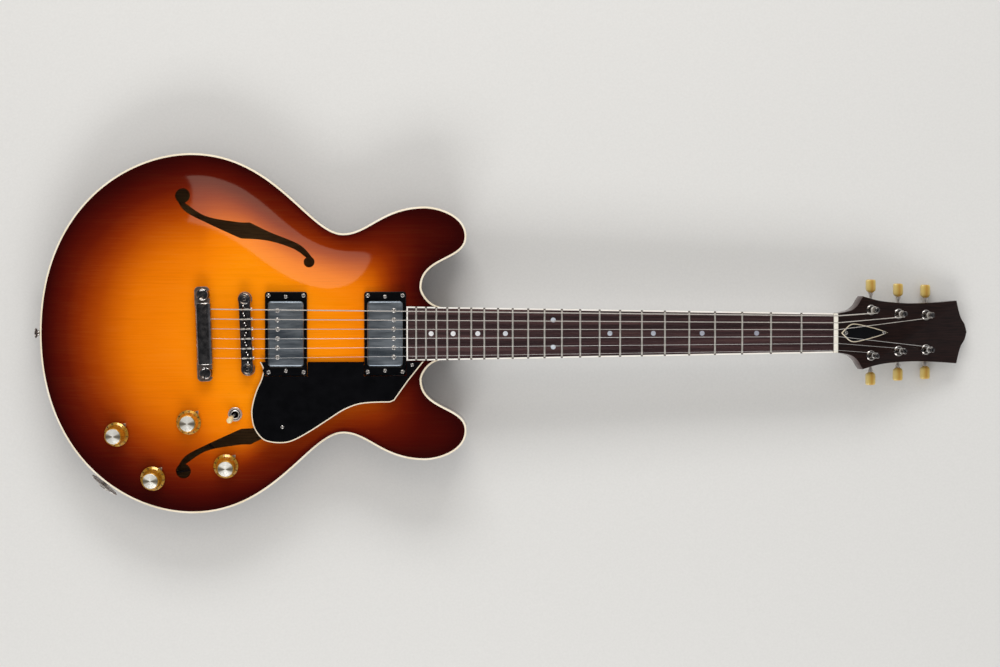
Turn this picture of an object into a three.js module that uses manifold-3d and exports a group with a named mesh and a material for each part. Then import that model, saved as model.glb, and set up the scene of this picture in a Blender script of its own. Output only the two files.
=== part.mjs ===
// Semi-hollow electric guitar with an arched top, lying on its back.
// Millimetres. X runs from the bridge to the head, Y to the bass side, Z up out of the back.
// The origin is on the flat at the middle of the back, under the line of the saddles.
import * as THREE from 'three';
import { mergeVertices } from 'three/addons/utils/BufferGeometryUtils.js';
import Module from 'manifold-3d';

const wasm = await Module();
wasm.setup();

// Fits shared by every piece
const SEAT = 0.3;
const OVERRUN = 3;
const STRING_SEAT = 0.15;

// Body outline, half of which is mirrored across the centre line; both shares are of the upper bout's width
const BUTT_X = -225.5;
const LOWER_BOUT_X = -62;
const LOWER_BOUT_WIDTH = 387;
const WAIST_X = 100.5;
const WAIST_WIDTH = 215;
const UPPER_BOUT_X = 188;
const UPPER_BOUT_WIDTH = 272.6;
const HORN_TIP_X = 233;
const HORN_TIP_SHARE = 0.763;
const CUTAWAY_X = 184.5;
const CUTAWAY_SHARE = 0.3632;
const NECK_JOINT_X = 213;
const NECK_JOINT_WIDTH = 55.2;

// Plates, sides and linings
const BACK_RISE = 10;
const SIDE_DEPTH = 42;
const TOP_RISE = 12;
const PLATE_THICKNESS = 4.8;
const ARCH_REACH = 90;
const LINING_WIDTH = 8.5;
const LINING_DEPTH = 11.2;
const SIDE_THICKNESS = 2.8;
const BINDING_WIDTH = 2;
const PLATE_RING_SHARES = [0.9, 0.72, 0.54, 0.15];
const BLOCK_WIDTH = 115;

// Sound holes, measured between their two round eyes and set out by a share of the lower bout's width
const SOUND_HOLE_X = -3.35;
const SOUND_HOLE_SHARE = 0.29;
const SOUND_HOLE_LENGTH = 153;
const SOUND_HOLE_ANGLE = -27.65;
const LARGE_EYE_RADIUS = 8;
const SMALL_EYE_RADIUS = 5.8;

// Strings and neck
const STRING_COUNT = 6;
const SCALE_LENGTH = 628.65;
const BRIDGE_X = -1.8;
const SADDLE_COMPENSATION = 3.45;
const NUT_X = BRIDGE_X + SADDLE_COMPENSATION + SCALE_LENGTH;
const SADDLE_HEIGHT = 78;
const BRIDGE_STRING_SPREAD = 52.2;
const NUT_STRING_SPREAD = 37.4;
const BOARD_CAMBER_RADIUS = 305;
const BOARD_TO_STRINGS = 4.425;
const BOARD_JOINT_HEIGHT = 58.68;
const NECK_SLOPE = (SADDLE_HEIGHT - BOARD_TO_STRINGS - BOARD_JOINT_HEIGHT) / NECK_JOINT_X;
const BOARD_NUT_HEIGHT = BOARD_JOINT_HEIGHT - NECK_SLOPE * (NUT_X - NECK_JOINT_X);
const NUT_STRING_LIFT = 2;
const NUT_STRING_HEIGHT = BOARD_NUT_HEIGHT + NUT_STRING_LIFT;
const BOARD_THICKNESS = 6;
const BOARD_END_X = 168.8;
const BOARD_NUT_WIDTH = 42.8;
const BOARD_END_WIDTH = 58.2;
const FRET_COUNT = 22;
const FRET_WIDTH = 2.4;
const FRET_CROWN_WIDTH = 1.2;
const FRET_HEIGHT = 1.1;
const NUT_THICKNESS = 4.8;
const NUT_PROUD = 2.1;
const NECK_NUT_DEPTH = 15;
const NECK_JOINT_DEPTH = 17.5;
const HEEL_LENGTH = 8;
const HEEL_SWEEP = 24;
const HEEL_BASE_Z = 12;
const TENON_WIDTH = 38;
const TENON_END_X = 171;
const TENON_BASE_Z = 22;

// Head, which tips back from the neck
const HEAD_ANGLE = 15;
const HEAD_DROP = 3.2;
const HEAD_LENGTH = 158.2;
const HEAD_WIDTH = 79.6;
const HEAD_THICKNESS = 14;
const HEAD_BLEND_LENGTH = 11;
const ROD_POCKET_LENGTH = 34;
const ROD_POCKET_WIDTH = 9;
const ROD_POCKET_DEPTH = 8;
const ROD_POCKET_START = 9;
const ROD_COVER_START = 3.6;
const ROD_COVER_LENGTH = 56.4;
const ROD_COVER_WIDTH = 20.2;
const ROD_COVER_THICKNESS = 2.2;

// Tuners: places of the posts on the head, bass side then treble side, from the nut outwards
const POST_STATIONS = [40, 73.6, 107.3];
const POST_SIDESTEPS = [24.8, 20.3, 19];
const POST_RADIUS = 3;
const POST_WAIST_RADIUS = 2.6;
const POST_HEIGHT = 15.5;
const POST_WAIST_BASE = 3.4;
const POST_WAIST_TOP = 12;
const BUSHING_RADIUS = 5;
const BUSHING_HEIGHT = 2;
const GEAR_TEETH = 14;
const GEAR_RADIUS = 5.7;
const GEAR_TOOTH_DEPTH = 1.1;
const GEAR_THICKNESS = 4.4;
const WORM_RADIUS = 2.9;
const WORM_LENGTH = 9;
const WORM_OFFSET = 9;
const TUNER_SHAFT_RADIUS = 1.8;
const HOUSING_WALL = 1;
const HOUSING_WIDTH = 15;
const HOUSING_DEPTH = 9.4;
const HOUSING_BEHIND_POST = 8;
const HOUSING_PAST_WORM = 4.5;
const BUTTON_START = 18.6;
const BUTTON_LENGTH = 14.6;
const BUTTON_WIDTH = 11.2;
const BUTTON_THICKNESS = 7.4;
const BUTTON_COLLAR_RADIUS = 3;
const BUTTON_COLLAR_LENGTH = 3;

// String gauges, thickest first, and their turns round the posts
const STRING_RADII = [0.58, 0.46, 0.33, 0.215, 0.165, 0.13];
const STRING_TURNS = [2, 2, 2, 3, 3, 3];
const WRAP_STEPS = 8;
const WRAP_GAP = 0.46;
const WRAP_TOP = 9.6;
const STRING_STUB = 4;
const STRING_BALL_RADIUS = 1.9;
const STRING_BALL_LENGTH = 3.2;

// Pickups and their rings
const BRIDGE_PICKUP_X = 40.6;
const NECK_PICKUP_X = 146;
const RING_LENGTH = 90;
const RING_WIDTH = 44.8;
const RING_CORNER = 3;
const RING_THICKNESS = 14;
const COVER_LENGTH = 70;
const COVER_WIDTH = 38;
const COVER_CORNER = 3.5;
const COVER_EDGE = 1.2;
const COVER_HEIGHT = 17;
const COVER_CLEARANCE = 0.4;
const COVER_TO_STRING = 3.2;
const RING_TO_STRING = 6.4;
const POLE_SPREAD = 49.7;
const POLE_RADIUS = 2.4;
const POLE_PROUD = 0.6;
const POLE_OFFSET = 9.6;
const LEG_LENGTH = 5.6;
const LEG_WIDTH = 12;
const LEG_THICKNESS = 2;
const HEIGHT_SCREW_RADIUS = 1.3;
const HEIGHT_SCREW_HEAD_RADIUS = 2.3;
const HEIGHT_SCREW_HEAD = 1.2;
const ROUT_CLEARANCE = 1.2;
const ROUT_DEPTH = 27;

// Bridge, its posts and its saddles
const BRIDGE_SLANT = 2.4;
const BRIDGE_POST_SPREAD = 74.6;
const BRIDGE_BAR_WIDTH = 13.4;
const BRIDGE_END_RADIUS = 6.8;
const BRIDGE_BASE_Z = 68.2;
const BRIDGE_BAR_HEIGHT = 6.3;
const BRIDGE_FLOOR = 2.2;
const TROUGH_WIDTH = 10;
const TROUGH_LENGTH = 62;
const BRIDGE_POST_RADIUS = 2;
const BRIDGE_POST_PROUD = 1;
const BRIDGE_POST_DEPTH = 24;
const THUMBWHEEL_RADIUS = 7.8;
const THUMBWHEEL_HEIGHT = 2.4;
const SADDLE_THICKNESS = 4;
const SADDLE_LENGTH = 8.6;
const SADDLE_CREST_WIDTH = 0.9;
const SADDLE_SHOULDER = 3.4;
const SADDLE_SCREW_RADIUS = 1.1;
const SADDLE_SCREW_RISE = 2.1;
const SADDLE_SCREW_HEAD_RADIUS = 1.9;
const SADDLE_SCREW_HEAD = 1.3;
const SADDLE_SETTINGS = [-1.5, -0.6, 0.6, -0.8, 0.1, 1.2];

// Tailpiece and its studs
const TAILPIECE_X = -46.4;
const TAILPIECE_SLANT = 2;
const TAILPIECE_Z = 71.5;
const TAILPIECE_HEIGHT = 11.6;
const TAILPIECE_WIDTH = 17.4;
const TAILPIECE_BAR_LENGTH = 66;
const TAILPIECE_STUD_SPREAD = 83.7;
const TAILPIECE_LUG_RADIUS = 8.7;
const TAILPIECE_LUG_THICKNESS = 6;
const STUD_HEAD_RADIUS = 6.6;
const STUD_HEAD_HEIGHT = 2.8;
const STUD_NECK_RADIUS = 3.8;
const STUD_FLANGE_HEIGHT = 1.6;
const STUD_BUSH_RADIUS = 5.6;
const STUD_BUSH_DEPTH = 22;
const STUD_SLOT_WIDTH = 1.6;
const STUD_SLOT_DEPTH = 1.2;

// Controls: the knobs are set out by shares of the lower bout's width, and the switch clears the block
const KNOB_STATIONS = [-142, -63.9, -103.9, -25.3];
const KNOB_SPREAD_SHARES = [-0.2786, -0.2442, -0.4016, -0.3667];
const KNOB_SKIRT_RADIUS = 13.2;
const KNOB_SKIRT_HEIGHT = 3;
const KNOB_WAIST_RADIUS = 10.6;
const KNOB_TOP_RADIUS = 9.2;
const KNOB_HEIGHT = 15.5;
const KNOB_CAP_RADIUS = 8.3;
const KNOB_CAP_HEIGHT = 0.7;
const KNOB_LIFT = 1.6;
const KNOB_HOLLOW_RADIUS = 7.6;
const KNOB_HOLLOW_DEPTH = 6;
const POT_RADIUS = 11.8;
const POT_HEIGHT = 8.5;
const POT_DROP = 1.4;
const POT_BUSH_RADIUS = 4.7;
const POT_BUSH_TOP = 4.2;
const SHAFT_RADIUS = 3;
const WIRE_RADIUS = 1.3;
const SWITCH_X = -14.6;
const SWITCH_OFF_BLOCK = 28.7;
const SWITCH_BUSH_RADIUS = 6;
const SWITCH_NUT_RADIUS = 7.2;
const SWITCH_NUT_HEIGHT = 3;
const SWITCH_BODY_LENGTH = 36;
const SWITCH_BODY_WIDTH = 15;
const SWITCH_BODY_HEIGHT = 15;
const SWITCH_PIVOT_DEPTH = 6;
const SWITCH_PIVOT_RADIUS = 2.2;
const LEVER_RADIUS = 1.4;
const LEVER_LENGTH = 26;
const LEVER_THROW = 17;
const LEVER_HEADING = -139;
const LEVER_TIP_RADIUS = 3.2;
const LEVER_TIP_LENGTH = 13;

// Output jack on the side, and the two strap buttons
const JACK_X = -155.6;
const JACK_PLATE_LENGTH = 34;
const JACK_PLATE_WIDTH = 19;
const JACK_PLATE_THICKNESS = 1.6;
const JACK_PLATE_LIFT = 0.9;
const JACK_BARREL_RADIUS = 4.7;
const JACK_BORE_RADIUS = 3.25;
const JACK_BORE_DEPTH = 27;
const JACK_NUT_RADIUS = 6.6;
const JACK_NUT_HEIGHT = 2.6;
const JACK_CAGE_RADIUS = 7.6;
const JACK_CAGE_LENGTH = 20;
const STRAP_HEAD_RADIUS = 5.6;
const STRAP_NECK_RADIUS = 3;
const STRAP_BASE_RADIUS = 5;
const STRAP_LENGTH = 8.6;
const STRAP_SCREW_RADIUS = 1.8;
const STRAP_SCREW_DEPTH = 22;
const HEEL_BUTTON_X = 219;

// Pickguard
const GUARD_NECK_X = 187;
const GUARD_EDGE_Y = -30;
const GUARD_LENGTH = 184;
const GUARD_WIDTH = 86.6;
const GUARD_THICKNESS = 2.4;
const GUARD_ANGLE = 3.2;
const GUARD_NECK_Z = 58.2;
const GUARD_CLEARANCE = 0.6;
const GUARD_SPACER_RADIUS = 3.6;
const GUARD_SPACERS = [[174.7, -35.6], [36.1, -110.4]];
const GUARD_BRACKET_LENGTH = 18;
const GUARD_BRACKET_WIDTH = 8;
const GUARD_BRACKET_THICKNESS = 2.2;

const toRadians = THREE.MathUtils.degToRad;
const EDGE_TOP = BACK_RISE + SIDE_DEPTH;

// Materials
function finish(color, roughness, metalness) {
  return new THREE.MeshStandardMaterial({ color, roughness, metalness });
}
const MAPLE_TOP = finish(0xd9720c, 0.25, 0);
const MAPLE_SIDE = finish(0x4a120c, 0.28, 0);
const RAW_WOOD = finish(0xb98a55, 0.7, 0);
const IVORY = finish(0xe9dcc0, 0.4, 0);
const MAHOGANY = finish(0x3c1410, 0.3, 0);
const ROSEWOOD = finish(0x3a231d, 0.5, 0);
const BONE = finish(0xefe8d6, 0.4, 0);
const BLACK_PLASTIC = finish(0x0c0c0d, 0.2, 0);
const NICKEL = finish(0xb9b4ac, 0.25, 1);
const STEEL = finish(0xc8c8c8, 0.3, 1);
const GOLD_PLASTIC = finish(0xb9822c, 0.2, 0);
const CREAM_PLASTIC = finish(0xe4cd92, 0.35, 0);

// Closed shapes from rings of points, and joins and cuts between them
function fromPoints(points, triangles) {
  const geometry = new THREE.BufferGeometry();
  const flat = points.flatMap((p) => [p.x, p.y, p.z]);
  geometry.setAttribute('position', new THREE.Float32BufferAttribute(flat, 3));
  geometry.setIndex(triangles);
  return geometry;
}

function stitch(from, to, start, triangles) {
  const next = start + from.length;
  let i = 0;
  let j = 0;
  while (i < from.length || j < to.length) {
    const lag = (i + 0.5) / from.length - (j + 0.5) / to.length;
    const [a, b] = [(i + 1) % from.length, (j + 1) % to.length];
    const [here, there] = [i % from.length, j % to.length];
    const shorter = from[a].distanceTo(to[there]) < from[here].distanceTo(to[b]);
    const even = Math.abs(lag) < Number.EPSILON;
    if ((even && shorter) || (!even && lag < 0)) {
      triangles.push(start + here, start + a, next + there);
      i += 1;
    } else {
      triangles.push(start + here, next + b, next + there);
      j += 1;
    }
  }
}

function skin(loops, ends) {
  const triangles = [];
  const around = ends ? loops : [...loops, loops[0]];
  let start = 0;
  around.slice(1).forEach((loop, i) => {
    stitch(around[i], loop, start, triangles);
    start += around[i].length;
  });
  const points = around.flat();
  if (ends) {
    points.push(ends[0], ends[1]);
    fan(points.length - 2, 0, loops[0].length, -1, triangles);
    fan(points.length - 1, start, loops[loops.length - 1].length, 1, triangles);
  }
  return fromPoints(points, triangles);
}

function fan(centre, start, count, way, triangles) {
  for (let j = 0; j < count; j += 1) {
    const corners = [start + j, start + ((j + 1) % count)];
    triangles.push(centre, ...(way > 0 ? corners : corners.reverse()));
  }
}

function middle(loop) {
  return loop.reduce((sum, p) => sum.add(p), new THREE.Vector3()).divideScalar(loop.length);
}

function loft(loops) {
  return skin(loops, [middle(loops[0]), middle(loops[loops.length - 1])]);
}

function solid(geometry) {
  const bare = geometry.clone();
  bare.deleteAttribute('normal');
  bare.deleteAttribute('uv');
  const merged = mergeVertices(bare);
  const vertProperties = new Float32Array(merged.attributes.position.array);
  const corners = merged.index.array;
  const kept = [];
  let volume = 0;
  const a = new THREE.Vector3();
  const b = new THREE.Vector3();
  const c = new THREE.Vector3();
  for (let i = 0; i < corners.length; i += 3) {
    const [p, q, r] = [corners[i], corners[i + 1], corners[i + 2]];
    if (p !== q && q !== r && r !== p) {
      kept.push(p, q, r);
      a.fromArray(vertProperties, p * 3);
      b.fromArray(vertProperties, q * 3);
      c.fromArray(vertProperties, r * 3);
      volume += a.dot(b.cross(c));
    }
  }
  const triVerts = new Uint32Array(volume < 0 ? kept.reverse() : kept);
  return new wasm.Manifold(new wasm.Mesh({ numProp: 3, vertProperties, triVerts }));
}

function shape(body) {
  const { vertProperties, triVerts } = body.getMesh();
  const geometry = new THREE.BufferGeometry();
  geometry.setAttribute('position', new THREE.BufferAttribute(new Float32Array(vertProperties), 3));
  geometry.setIndex(new THREE.BufferAttribute(new Uint32Array(triVerts), 1));
  geometry.computeVertexNormals();
  return geometry;
}

function join(first, ...others) {
  return shape(others.reduce((body, other) => body.add(solid(other)), solid(first)));
}

function cut(first, ...tools) {
  return shape(tools.reduce((body, tool) => body.subtract(solid(tool)), solid(first)));
}

function common(first, second) {
  return shape(solid(first).intersect(solid(second)));
}

function moved(geometry, x, y, z) {
  return geometry.clone().translate(x, y, z);
}

// Plain forms that the pieces are made of
function prism(points, bottom, top) {
  const outline = new THREE.Shape(points.map((p) => new THREE.Vector2(p.x, p.y)));
  const geometry = new THREE.ExtrudeGeometry(outline, { depth: top - bottom, bevelEnabled: false });
  return geometry.translate(0, 0, bottom);
}

function block(x0, x1, y0, y1, z0, z1) {
  const geometry = new THREE.BoxGeometry(x1 - x0, y1 - y0, z1 - z0);
  return geometry.translate((x0 + x1) / 2, (y0 + y1) / 2, (z0 + z1) / 2);
}

function turned(profile, sides) {
  const points = profile.map(([radius, height]) => new THREE.Vector2(radius, height));
  return new THREE.LatheGeometry(points, sides).rotateX(Math.PI / 2);
}

function rod(radius, bottom, top, sides) {
  return turned([[0, bottom], [radius, bottom], [radius, top], [0, top]], sides);
}

function circle(x, y, radius, sides) {
  return Array.from({ length: sides }, (_, i) => {
    const angle = (i / sides) * Math.PI * 2;
    return new THREE.Vector2(x + radius * Math.cos(angle), y + radius * Math.sin(angle));
  });
}

function roundedRectangle(halfX, halfY, corner, steps) {
  const points = [];
  for (let quarter = 0; quarter < 4; quarter += 1) {
    const sideX = quarter === 0 || quarter === 3 ? 1 : -1;
    const sideY = quarter < 2 ? 1 : -1;
    for (let i = 0; i <= steps; i += 1) {
      const angle = (quarter + i / steps) * (Math.PI / 2);
      points.push(new THREE.Vector2(
        sideX * (halfX - corner) + corner * Math.cos(angle),
        sideY * (halfY - corner) + corner * Math.sin(angle),
      ));
    }
  }
  return points;
}

function spline(points, steps) {
  return new THREE.SplineCurve(points).getPoints(steps);
}

function tube(path, radii, sides) {
  const directions = path.map((p, i) => {
    const before = path[Math.max(i - 1, 0)];
    const after = path[Math.min(i + 1, path.length - 1)];
    return after.clone().sub(before).normalize();
  });
  let across = new THREE.Vector3(0, 0, 1).cross(directions[0]).normalize();
  const loops = path.map((p, i) => {
    const direction = directions[i];
    across = across.clone().addScaledVector(direction, -across.dot(direction)).normalize();
    const up = direction.clone().cross(across);
    return Array.from({ length: sides }, (_, k) => {
      const angle = (k / sides) * Math.PI * 2;
      return p.clone()
        .addScaledVector(across, radii[i] * Math.cos(angle))
        .addScaledVector(up, radii[i] * Math.sin(angle));
    });
  });
  return skin(loops, [path[0], path[path.length - 1]]);
}

// Body outline, anticlockwise from the neck round the bass side to the butt and back
function bend(from, to, leave, arrive, shares, steps) {
  const spanX = Math.abs(to.x - from.x);
  const spanY = Math.abs(to.y - from.y);
  const reach = (way, share) => share * (Math.abs(way[0]) * spanX + Math.abs(way[1]) * spanY);
  const first = new THREE.Vector2(...leave).multiplyScalar(reach(leave, shares[0])).add(from);
  const second = new THREE.Vector2(...arrive).multiplyScalar(-reach(arrive, shares[1])).add(to);
  return new THREE.CubicBezierCurve(from, first, second, to).getPoints(steps).slice(0, -1);
}

function bodyOutline() {
  const butt = new THREE.Vector2(BUTT_X, 0);
  const lower = new THREE.Vector2(LOWER_BOUT_X, LOWER_BOUT_WIDTH / 2);
  const waist = new THREE.Vector2(WAIST_X, WAIST_WIDTH / 2);
  const upper = new THREE.Vector2(UPPER_BOUT_X, UPPER_BOUT_WIDTH / 2);
  const tip = new THREE.Vector2(HORN_TIP_X, (HORN_TIP_SHARE * UPPER_BOUT_WIDTH) / 2);
  const bay = new THREE.Vector2(CUTAWAY_X, (CUTAWAY_SHARE * UPPER_BOUT_WIDTH) / 2);
  const neck = new THREE.Vector2(NECK_JOINT_X, NECK_JOINT_WIDTH / 2);
  const half = [
    ...bend(butt, lower, [0, 1], [1, 0], [0.7, 0.43], 10),
    ...bend(lower, waist, [1, 0], [1, 0], [0.55, 0.22], 6),
    ...bend(waist, upper, [1, 0], [1, 0], [0.3, 0.52], 4),
    ...bend(upper, tip, [1, 0], [0, -1], [0.31, 0.74], 5),
    ...bend(tip, bay, [0, -1], [0, -1], [0.49, 0.6], 4),
    ...bend(bay, neck, [0, -1], [1, 0], [0.14, 0.8], 3),
    neck,
  ];
  const mirrored = half.slice(1).map((p) => new THREE.Vector2(p.x, -p.y));
  return [...half.reverse(), ...mirrored, new THREE.Vector2(NECK_JOINT_X, 0)];
}

function inset(points, distance) {
  return points.map((p, i) => {
    const before = points[(i + points.length - 1) % points.length];
    const after = points[(i + 1) % points.length];
    const first = new THREE.Vector2(before.y - p.y, p.x - before.x).normalize();
    const second = new THREE.Vector2(p.y - after.y, after.x - p.x).normalize();
    const stretch = distance / (1 + first.dot(second));
    return first.add(second).multiplyScalar(stretch).add(p);
  });
}

const OUTLINE = bodyOutline();

// Smooth distance to the outline: it equals the true distance beside a straight edge
function edgeDistance(x, y) {
  let field = 0;
  OUTLINE.forEach((a, i) => {
    const b = OUTLINE[(i + 1) % OUTLINE.length];
    const length = a.distanceTo(b);
    const along = ((x - a.x) * (b.x - a.x) + (y - a.y) * (b.y - a.y)) / length;
    const square = Math.max((x - a.x) ** 2 + (y - a.y) ** 2 - along * along, Number.EPSILON);
    const start = -along / Math.sqrt(along * along + square);
    const end = (length - along) / Math.sqrt((length - along) ** 2 + square);
    field += (end - start) / square;
  });
  return Math.sqrt(2 / field);
}

// Share of the full arch, from 0 on the flat margin over the linings to 1 at the middle
function archShare(x, y) {
  const way = (edgeDistance(x, y) - LINING_WIDTH) / (ARCH_REACH - LINING_WIDTH);
  return THREE.MathUtils.smoothstep(way, 0, 1);
}

function topHeight(x, y) {
  return EDGE_TOP + TOP_RISE * archShare(x, y);
}

function backHeight(x, y) {
  return BACK_RISE * (1 - archShare(x, y));
}

function plate(edge, topOf, bottomOf) {
  const lining = inset(OUTLINE, LINING_WIDTH).filter((_, i) => i % 2 === 0);
  const rings = edge < LINING_WIDTH ? [inset(OUTLINE, edge), lining] : [lining];
  PLATE_RING_SHARES.forEach((share) => rings.push(lining.map((p) => p.clone().multiplyScalar(share))));
  const at = (heightOf) => (ring) => ring.map((p) => new THREE.Vector3(p.x, p.y, heightOf(p.x, p.y)));
  const lower = rings.map(at(bottomOf)).reverse();
  const upper = rings.map(at(topOf));
  const ends = [bottomOf(0, 0), topOf(0, 0)].map((z) => new THREE.Vector3(0, 0, z));
  return skin([...lower, ...upper], ends);
}

// What a piece that seats on the top must stay clear of
const OVER_TOP = plate(0, (x, y) => topHeight(x, y) + SEAT, () => 0);

function seatOnTop(x, y) {
  const step = SEAT;
  const slopeX = (topHeight(x + step, y) - topHeight(x - step, y)) / (2 * step);
  const slopeY = (topHeight(x, y + step) - topHeight(x, y - step)) / (2 * step);
  const seat = new THREE.Object3D();
  seat.position.set(x, y, topHeight(x, y));
  seat.quaternion.setFromUnitVectors(
    new THREE.Vector3(0, 0, 1),
    new THREE.Vector3(-slopeX, -slopeY, 1).normalize(),
  );
  seat.updateMatrix();
  return seat.matrix;
}

// Heights along the strings and the fingerboard
function boardHeight(x) {
  return BOARD_NUT_HEIGHT + (NUT_X - x) * NECK_SLOPE;
}

function boardHalfWidth(x) {
  const way = (NUT_X - x) / (NUT_X - BOARD_END_X);
  return (BOARD_NUT_WIDTH + (BOARD_END_WIDTH - BOARD_NUT_WIDTH) * way) / 2;
}

function camber(y) {
  return BOARD_CAMBER_RADIUS - Math.sqrt(BOARD_CAMBER_RADIUS ** 2 - y * y);
}

const STRING_SLOPE = (SADDLE_HEIGHT - NUT_STRING_HEIGHT) / NUT_X;

function stringHeight(x) {
  return SADDLE_HEIGHT - STRING_SLOPE * x;
}

function spreadPlace(index, spread) {
  return spread / 2 - (spread * index) / (STRING_COUNT - 1);
}

function fretPlace(number) {
  const fromNut = SCALE_LENGTH * (1 - 2 ** (-number / 12));
  return NUT_X - fromNut * Math.cos(Math.atan(NECK_SLOPE));
}

// Frame of the head face: its own X runs along the head, and its Z out of the face
function headMatrix() {
  const seat = new THREE.Object3D();
  seat.position.set(NUT_X + NUT_THICKNESS + SEAT, 0, BOARD_NUT_HEIGHT - HEAD_DROP);
  seat.rotation.y = Math.atan(NECK_SLOPE) + toRadians(HEAD_ANGLE);
  seat.updateMatrix();
  return seat.matrix;
}

const HEAD = headMatrix();

function postPlace(index) {
  const station = index < 3 ? index : 5 - index;
  const side = index < 3 ? 1 : -1;
  return { x: POST_STATIONS[station], y: side * POST_SIDESTEPS[station], side };
}

const guitar = new THREE.Group();

function add(name, geometry, material, matrix) {
  const mesh = new THREE.Mesh(geometry, material);
  mesh.name = name;
  if (matrix) matrix.decompose(mesh.position, mesh.quaternion, mesh.scale);
  guitar.add(mesh);
}

// Sound holes
const OUTER_EDGE_SHARES = [
  [[-0.456, -0.037], [-0.286, -0.05], [-0.078, 0.014], [0.004, 0.053]],
  [[0.004, 0.053], [0.162, 0.058], [0.39, 0.076], [0.529, 0.025]],
];
const INNER_EDGE_SHARES = [
  [[0.47, 0.017], [0.357, 0.031], [0.176, -0.001], [0.002, -0.075]],
  [[0.002, -0.075], [-0.242, -0.088], [-0.436, -0.087], [-0.546, -0.024]],
];
const SPLINE_STEPS = 5;

function soundHole(side) {
  const run = (shares) => spline(shares.map(([along, across]) => new THREE.Vector2(
    along * SOUND_HOLE_LENGTH,
    across * SOUND_HOLE_LENGTH,
  )), SPLINE_STEPS).slice(0, -1);
  const stem = [...OUTER_EDGE_SHARES, ...INNER_EDGE_SHARES].flatMap(run);
  const place = (geometry) => {
    geometry.rotateZ(toRadians(SOUND_HOLE_ANGLE)).translate(SOUND_HOLE_X, SOUND_HOLE_SHARE * LOWER_BOUT_WIDTH, 0);
    return geometry.scale(1, side, 1);
  };
  const [bottom, top] = [BACK_RISE + PLATE_THICKNESS, EDGE_TOP + TOP_RISE + OVERRUN];
  return [
    place(prism(stem, bottom, top)),
    place(moved(rod(LARGE_EYE_RADIUS, bottom, top, 12), -SOUND_HOLE_LENGTH / 2, 0, 0)),
    place(moved(rod(SMALL_EYE_RADIUS, bottom, top, 10), SOUND_HOLE_LENGTH / 2, 0, 0)),
  ];
}

// Places of the posts and studs that go down through the top
function slanted(x, angle, spread) {
  const seat = new THREE.Object3D();
  seat.position.set(x, 0, 0);
  seat.rotation.z = toRadians(angle);
  seat.updateMatrix();
  const ends = [spread / 2, -spread / 2].map((y) => new THREE.Vector3(0, y, 0).applyMatrix4(seat.matrix));
  return { matrix: seat.matrix, ends };
}

const BRIDGE = slanted(BRIDGE_X, BRIDGE_SLANT, BRIDGE_POST_SPREAD);
const TAILPIECE = slanted(TAILPIECE_X, TAILPIECE_SLANT, TAILPIECE_STUD_SPREAD);
const KNOB_SEATS = KNOB_STATIONS.map((x, i) => seatOnTop(x, KNOB_SPREAD_SHARES[i] * LOWER_BOUT_WIDTH));
const SWITCH_SEAT = seatOnTop(SWITCH_X, -BLOCK_WIDTH / 2 - SWITCH_OFF_BLOCK);

function hole(place, radius, depth) {
  const top = EDGE_TOP + TOP_RISE + OVERRUN;
  return moved(rod(radius, top - OVERRUN - depth, top, 8), place.x, place.y, 0);
}

function pickupHole(x, halfX, halfY, bottom) {
  return block(x - halfX, x + halfX, -halfY, halfY, bottom, EDGE_TOP + TOP_RISE + OVERRUN);
}

function tenonSlot() {
  const halfY = TENON_WIDTH / 2 + SEAT;
  const bottom = TENON_BASE_Z - SEAT;
  return block(TENON_END_X - SEAT, NECK_JOINT_X + OVERRUN, -halfY, halfY, bottom, EDGE_TOP + TOP_RISE);
}

// Where the output jack goes through the side, with Z along the outward normal
function jackSeat() {
  const index = OUTLINE.findIndex((p, i) => i > OUTLINE.length / 2 && p.x > JACK_X);
  const [from, to] = [OUTLINE[index - 1], OUTLINE[index]];
  const along = to.clone().sub(from).normalize();
  const share = (JACK_X - from.x) / (to.x - from.x);
  const point = from.clone().lerp(to, share);
  const outward = new THREE.Vector3(along.y, -along.x, 0);
  const up = new THREE.Vector3(0, 0, 1);
  const matrix = new THREE.Matrix4().makeBasis(new THREE.Vector3(along.x, along.y, 0), up, outward);
  return matrix.setPosition(point.x, point.y, BACK_RISE + SIDE_DEPTH / 2);
}

const JACK = jackSeat();

function buttSeat() {
  const seat = new THREE.Object3D();
  seat.position.set(BUTT_X, 0, BACK_RISE + SIDE_DEPTH / 2);
  seat.rotation.y = -Math.PI / 2;
  seat.updateMatrix();
  return seat.matrix;
}

const BUTT = buttSeat();

// Shell of the body: top, back, sides, binding and the block down the middle
function topPlate() {
  const bushes = KNOB_SEATS.map((seat) => rod(POT_BUSH_RADIUS + 2 * SEAT, -SIDE_DEPTH / 2, OVERRUN, 8)
    .applyMatrix4(seat));
  const clearance = ROUT_CLEARANCE;
  return cut(
    plate(BINDING_WIDTH, topHeight, (x, y) => topHeight(x, y) - PLATE_THICKNESS),
    ...soundHole(1),
    ...soundHole(-1),
    ...[BRIDGE_PICKUP_X, NECK_PICKUP_X].map((x) => pickupHole(
      x,
      COVER_WIDTH / 2 + clearance,
      COVER_LENGTH / 2 + LEG_LENGTH + clearance,
      0,
    )),
    ...BRIDGE.ends.map((end) => hole(end, BRIDGE_POST_RADIUS + 2 * SEAT, SIDE_DEPTH)),
    ...TAILPIECE.ends.map((end) => hole(end, STUD_BUSH_RADIUS + 3 * SEAT, SIDE_DEPTH)),
    ...bushes,
    rod(SWITCH_BUSH_RADIUS + 3 * SEAT, -SIDE_DEPTH / 2, OVERRUN, 8).applyMatrix4(SWITCH_SEAT),
    tenonSlot(),
  );
}

function topBinding() {
  const outer = prism(OUTLINE, EDGE_TOP - PLATE_THICKNESS, EDGE_TOP);
  const inner = prism(inset(OUTLINE, BINDING_WIDTH), 0, EDGE_TOP + OVERRUN);
  return cut(outer, inner, tenonSlot());
}

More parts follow.
